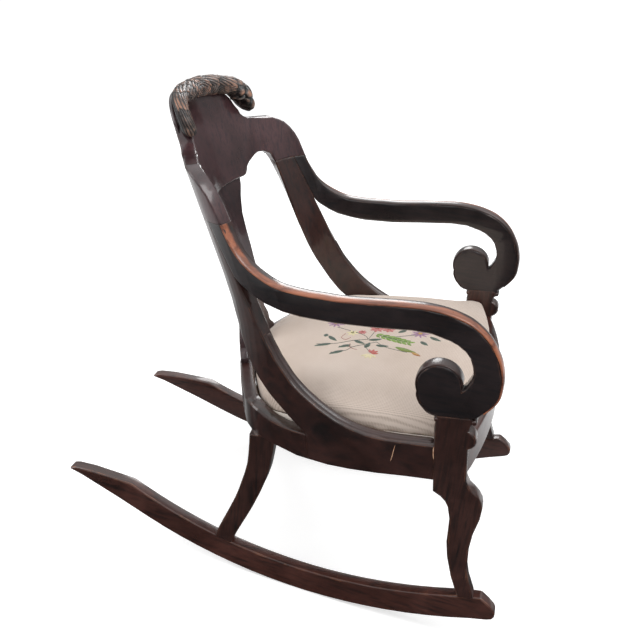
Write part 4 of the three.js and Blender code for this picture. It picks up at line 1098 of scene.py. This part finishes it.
def embroidery(cushion_object):
    """A bunch of garden flowers across the middle of the seat."""
    work = Stitches(cushion_object)
    for places in STALKS:
        work.stem(places, STALK_WIDTH, DEEP_GREEN)
    for places in TENDRILS:
        work.stem(places, TENDRIL_WIDTH, RUST)
    for start, end in SLENDER_LEAVES:
        work.between(start, end, SLENDER_WIDTH, DEEP_GREEN, GREEN, bend=10)
    for start, end, width, count in TOOTHED_LEAVES:
        work.toothed_leaf(start, end, width, count)
    for x, y, turn in ASTERS:
        work.flower(x, y, ASTER_SIZE, 9, PURPLE, LILAC, YELLOW, turn, narrow=0.34)
    for x, y, size in ROSES:
        work.flower(x, y, size, 7, CORAL, PINK, RUST, turn=15, narrow=0.75)
        work.flower(x, y, size * ROSE_HEART_SHARE, 5, PINK, PALE_PINK, CORAL, turn=40, narrow=0.8)
    for x, y, turn in PRIMROSES:
        work.flower(x, y, PRIMROSE_SIZE, 6, PALE, CREAM, OLIVE, turn, narrow=0.5)
    for heading in (-100, -60, -20, 20):
        tip = CORAL if heading < 0 else PINK
        work.leaf(*POPPY, *POPPY_PETAL, heading, CORAL, tip, bend=6, lift=POPPY_LIFT)
    for heading in (120, 155, 190, 225):
        work.leaf(*CALYX, *CALYX_PETAL, heading, CREAM, PALE, bend=6)
    for start, end, width, inner, outer, bend in LOOSE_LEAVES:
        work.between(start, end, width, inner, outer, bend)
    work.finish()


# Mouldings of the side rails, arms and posts

def stroke(ends, shares):
    """Points between two ends, by their shares of the way in length and height."""
    start, end = np.array(ends)
    return start + (end - start) * shares


def rail_bead(side, material):
    """The round bead along the inner edge of a side rail, thinning out as it climbs the stile."""
    line = through(stroke(STILE_ENDS, STILE_SHARES), 12)
    done = shares_along(line)[:, None]
    size = BEAD_RADIUS * (1 - 0.4 * smoothstep(done, 0.6, 1)) * (0.4 + 0.6 * smoothstep(done, 0, 0.015))
    angle = round_angles(20)
    rise = (np.cos(angle) - 0.5) * size
    swept(sided("rail_bead", side), line, rise, BEAD_INSET + np.sin(angle) * size, material, side)


def crowned_cap(name, side, line, crown, fades, material):
    """A cap over the edge of a board, crowned across it and flat near both ends of its line.

    Returns it and how far across the board each of its ring points lies, from 0 outside to 1.
    """
    done = shares_along(line)[:, None]
    fade = np.minimum(smoothstep(done, 0, fades[0]), 1 - smoothstep(done, fades[1], 1))
    across = np.linspace(-1, 1, CAP_POINTS)[None, :]
    over = crown * (1 - across ** 2) ** 0.8 * fade + CAP_LIFT
    under = np.full((len(line), CAP_POINTS), -CAP_SEAT)
    rise = np.concatenate([over, under], axis=1)
    reach = BOARD / 2 - CAP_MARGIN
    inset = BOARD / 2 + np.concatenate([across, across[:, ::-1]], axis=1) * reach
    cap = swept(sided(name, side), line, rise, inset, material, side)
    return cap, np.broadcast_to(inset / BOARD, rise.shape).reshape(-1)


def arm_cap(side, material):
    """The crowned top of an arm, from the front of the scroll up to the shoulder."""
    strokes = ((FRONT_ENDS, FRONT_SHARES), (OVER_ENDS, OVER_SHARES), (RISE_ENDS, RISE_SHARES))
    line = through(np.vstack([stroke(ends, shares)[1:] for ends, shares in strokes]), 10)
    cap, across = crowned_cap("arm_cap", side, line, CAP_CROWN, (0.05, 0.93), material)
    mark(cap, "across", [*across, 0.5, 0.5])


def eye_cap(side, material):
    """The crowned rim of a scroll's eye, down to the post, as dark as the inner edge of the arm."""
    angle = np.radians(np.linspace(*EYE_ARC, 60))
    eye = np.stack([
        SCROLL_LENGTH + np.cos(angle) * SCROLL_RADIUS,
        SCROLL_HEIGHT + np.sin(angle) * SCROLL_RADIUS,
    ], axis=-1)
    heel = through(stroke((eye[-1], (SCROLL_LENGTH - HEEL_SETBACK, POST_TOP)), HEEL_SHARES), 6)
    line = np.vstack([eye, heel[2:]])
    cap, across = crowned_cap("eye_cap", side, line, EYE_CROWN, (0.1, 0.9), material)
    mark(cap, "across", np.full(len(across) + 2, EYE_ACROSS_SHARE))


def neck_beads(side, material):
    """Small beads across the front and back of a post, under its scroll."""
    beads = (
        ("neck_bead_front", NECK_LENGTH - FRONT_BEAD_INSET, NECK_BEAD),
        ("neck_bead_back", SCROLL_LENGTH - BACK_BEAD_INSET, BACK_NECK_BEAD),
    )
    angle = round_angles(24)
    across = np.linspace(-1, 1, 15)[:, None]
    insets = BOARD / 2 + across * (BOARD / 2 + NECK_BEAD_MARGIN)
    for name, length, size in beads:
        radius = size * (0.72 + 0.28 * (1 - across ** 2) ** 0.5)
        lengths = length + np.cos(angle) * radius
        heights = POST_TOP - NECK_BEAD_DROP + np.sin(angle) * radius
        piece(sided(name, side), on_panel(side * lengths, insets, heights), material)


def old_damage():
    """Signs of age on the right side rail: a short crack and a chipped joint at the post."""
    s = Shader("bare_wood")
    flecks = s.cloud(s.place((200, 60, 200)), 1.0, 4.0, 0.7)
    colour = s.ramp(flecks, (0.3, srgb(150, 92, 62)), (0.65, srgb(214, 176, 146)))
    bare = s.finish(Base_Color=colour, Roughness=0.8)
    angle = round_angles(8)
    for name, places, width in (("old_crack", CRACK, CRACK_WIDTH), ("joint_chip", CHIP, CHIP_WIDTH)):
        line = through(places, 6)
        done = np.linspace(-1, 1, len(line))[:, None]
        size = width * (1 - done ** 2 * 0.9) ** 0.5
        swept(name, line, np.cos(angle) * size, np.sin(angle) * size * 0.3, bare, RIGHT)


# Studio

def camera():
    """The photograph's view: place and axes of its camera."""
    right = Vector(CAMERA_RIGHT).normalized()
    ahead = Vector(CAMERA_AHEAD).normalized()
    up = right.cross(ahead).normalized()
    data = bpy.data.cameras.new("camera")
    data.sensor_width = SENSOR
    data.lens = LENS
    data.clip_start = NEAREST
    data.clip_end = FARTHEST
    made = linked("camera", data)
    turn = Matrix((right, up, -ahead)).transposed().to_4x4()
    made.matrix_world = Matrix.Translation(Vector(CAMERA_PLACE) * MM) @ turn
    bpy.context.scene.camera = made


def room_light():
    """White for the camera, darker towards the horizon in reflections, and even for all other light."""
    scene = bpy.context.scene
    scene.view_settings.view_transform = "Standard"
    scene.world = bpy.data.worlds.new("studio")
    scene.world.use_nodes = True
    s = NodeTree(scene.world.node_tree)
    rays = s.add("ShaderNodeLightPath").outputs
    where = s.add("ShaderNodeTexCoord").outputs["Generated"]
    height = s.add("ShaderNodeSeparateXYZ", {0: where}).outputs["Z"]
    ceiling = s.spread(height, 0.05, 0.8, 0.1, 1.1)
    reflected = s.add("ShaderNodeMix", {0: rays["Is Glossy Ray"], 2: 0.62, 3: ceiling}).outputs[0]
    direct = s.add("ShaderNodeMix", {0: rays["Is Camera Ray"], 2: reflected, 3: 1.0}).outputs[0]
    light = s.add("ShaderNodeBackground", {0: grey(1), 1: direct}).outputs[0]
    s.add("ShaderNodeOutputWorld", {0: light})


def lamp(name, place, size, watts):
    """A round lamp aimed at the seat."""
    data = bpy.data.lights.new(name, "AREA")
    data.shape = "DISK"
    data.size = size
    data.energy = watts
    made = linked(name, data)
    made.location = place
    made.rotation_mode = "QUATERNION"
    made.rotation_quaternion = (Vector(LAMP_AIM) - Vector(place)).to_track_quat("-Z", "Y")


def studio_floor():
    """A pale floor. Reflections show it dim near the camera and bright beyond and behind the chair."""
    corners = [(FLOOR_HALF * x, FLOOR_HALF * y, 0) for x, y in ((-1, -1), (1, -1), (1, 1), (-1, 1))]
    floor = new_object("studio_floor", corners, [(0, 1, 2, 3)])
    s = Shader("studio_floor")
    specks = s.cloud(s.place(), 3.0, 3.0)
    paths = s.add("ShaderNodeLightPath")
    spot = s.add("ShaderNodeNewGeometry").outputs["Position"]
    axes = s.add("ShaderNodeSeparateXYZ", {0: spot}).outputs
    beyond = s.spread(axes["X"], *BRIGHT_BEYOND, 0.04, 0.85)
    behind = s.spread(axes["Y"], *BRIGHT_BEHIND, 0.04, 0.85)
    pale = s.ramp(specks, (0.4, grey(0.87)), (0.6, grey(0.89)))
    colour = s.mix(paths.outputs["Is Glossy Ray"], pale, s.math("MAXIMUM", beyond, behind))
    glow = s.math("MULTIPLY", paths.outputs["Is Camera Ray"], 0.5)
    floor.data.materials.append(s.finish(
        Base_Color=colour, Roughness=0.9, Specular_IOR_Level=0.0,
        Emission_Color=grey(1), Emission_Strength=glow,
    ))


camera()
room_light()
for settings in LAMPS:
    lamp(*settings)
studio_floor()
dress_solids()
carved_roll()
crest_rim()
frame_wood = nodes["side_frame_left"].material_slots[0].material
arm_wood = arm_top()
for side in (LEFT, RIGHT):
    rail_bead(side, frame_wood)
    neck_beads(side, frame_wood)
    arm_cap(side, arm_wood)
    eye_cap(side, arm_wood)
old_damage()
embroidery(cushion())
cover_edge()
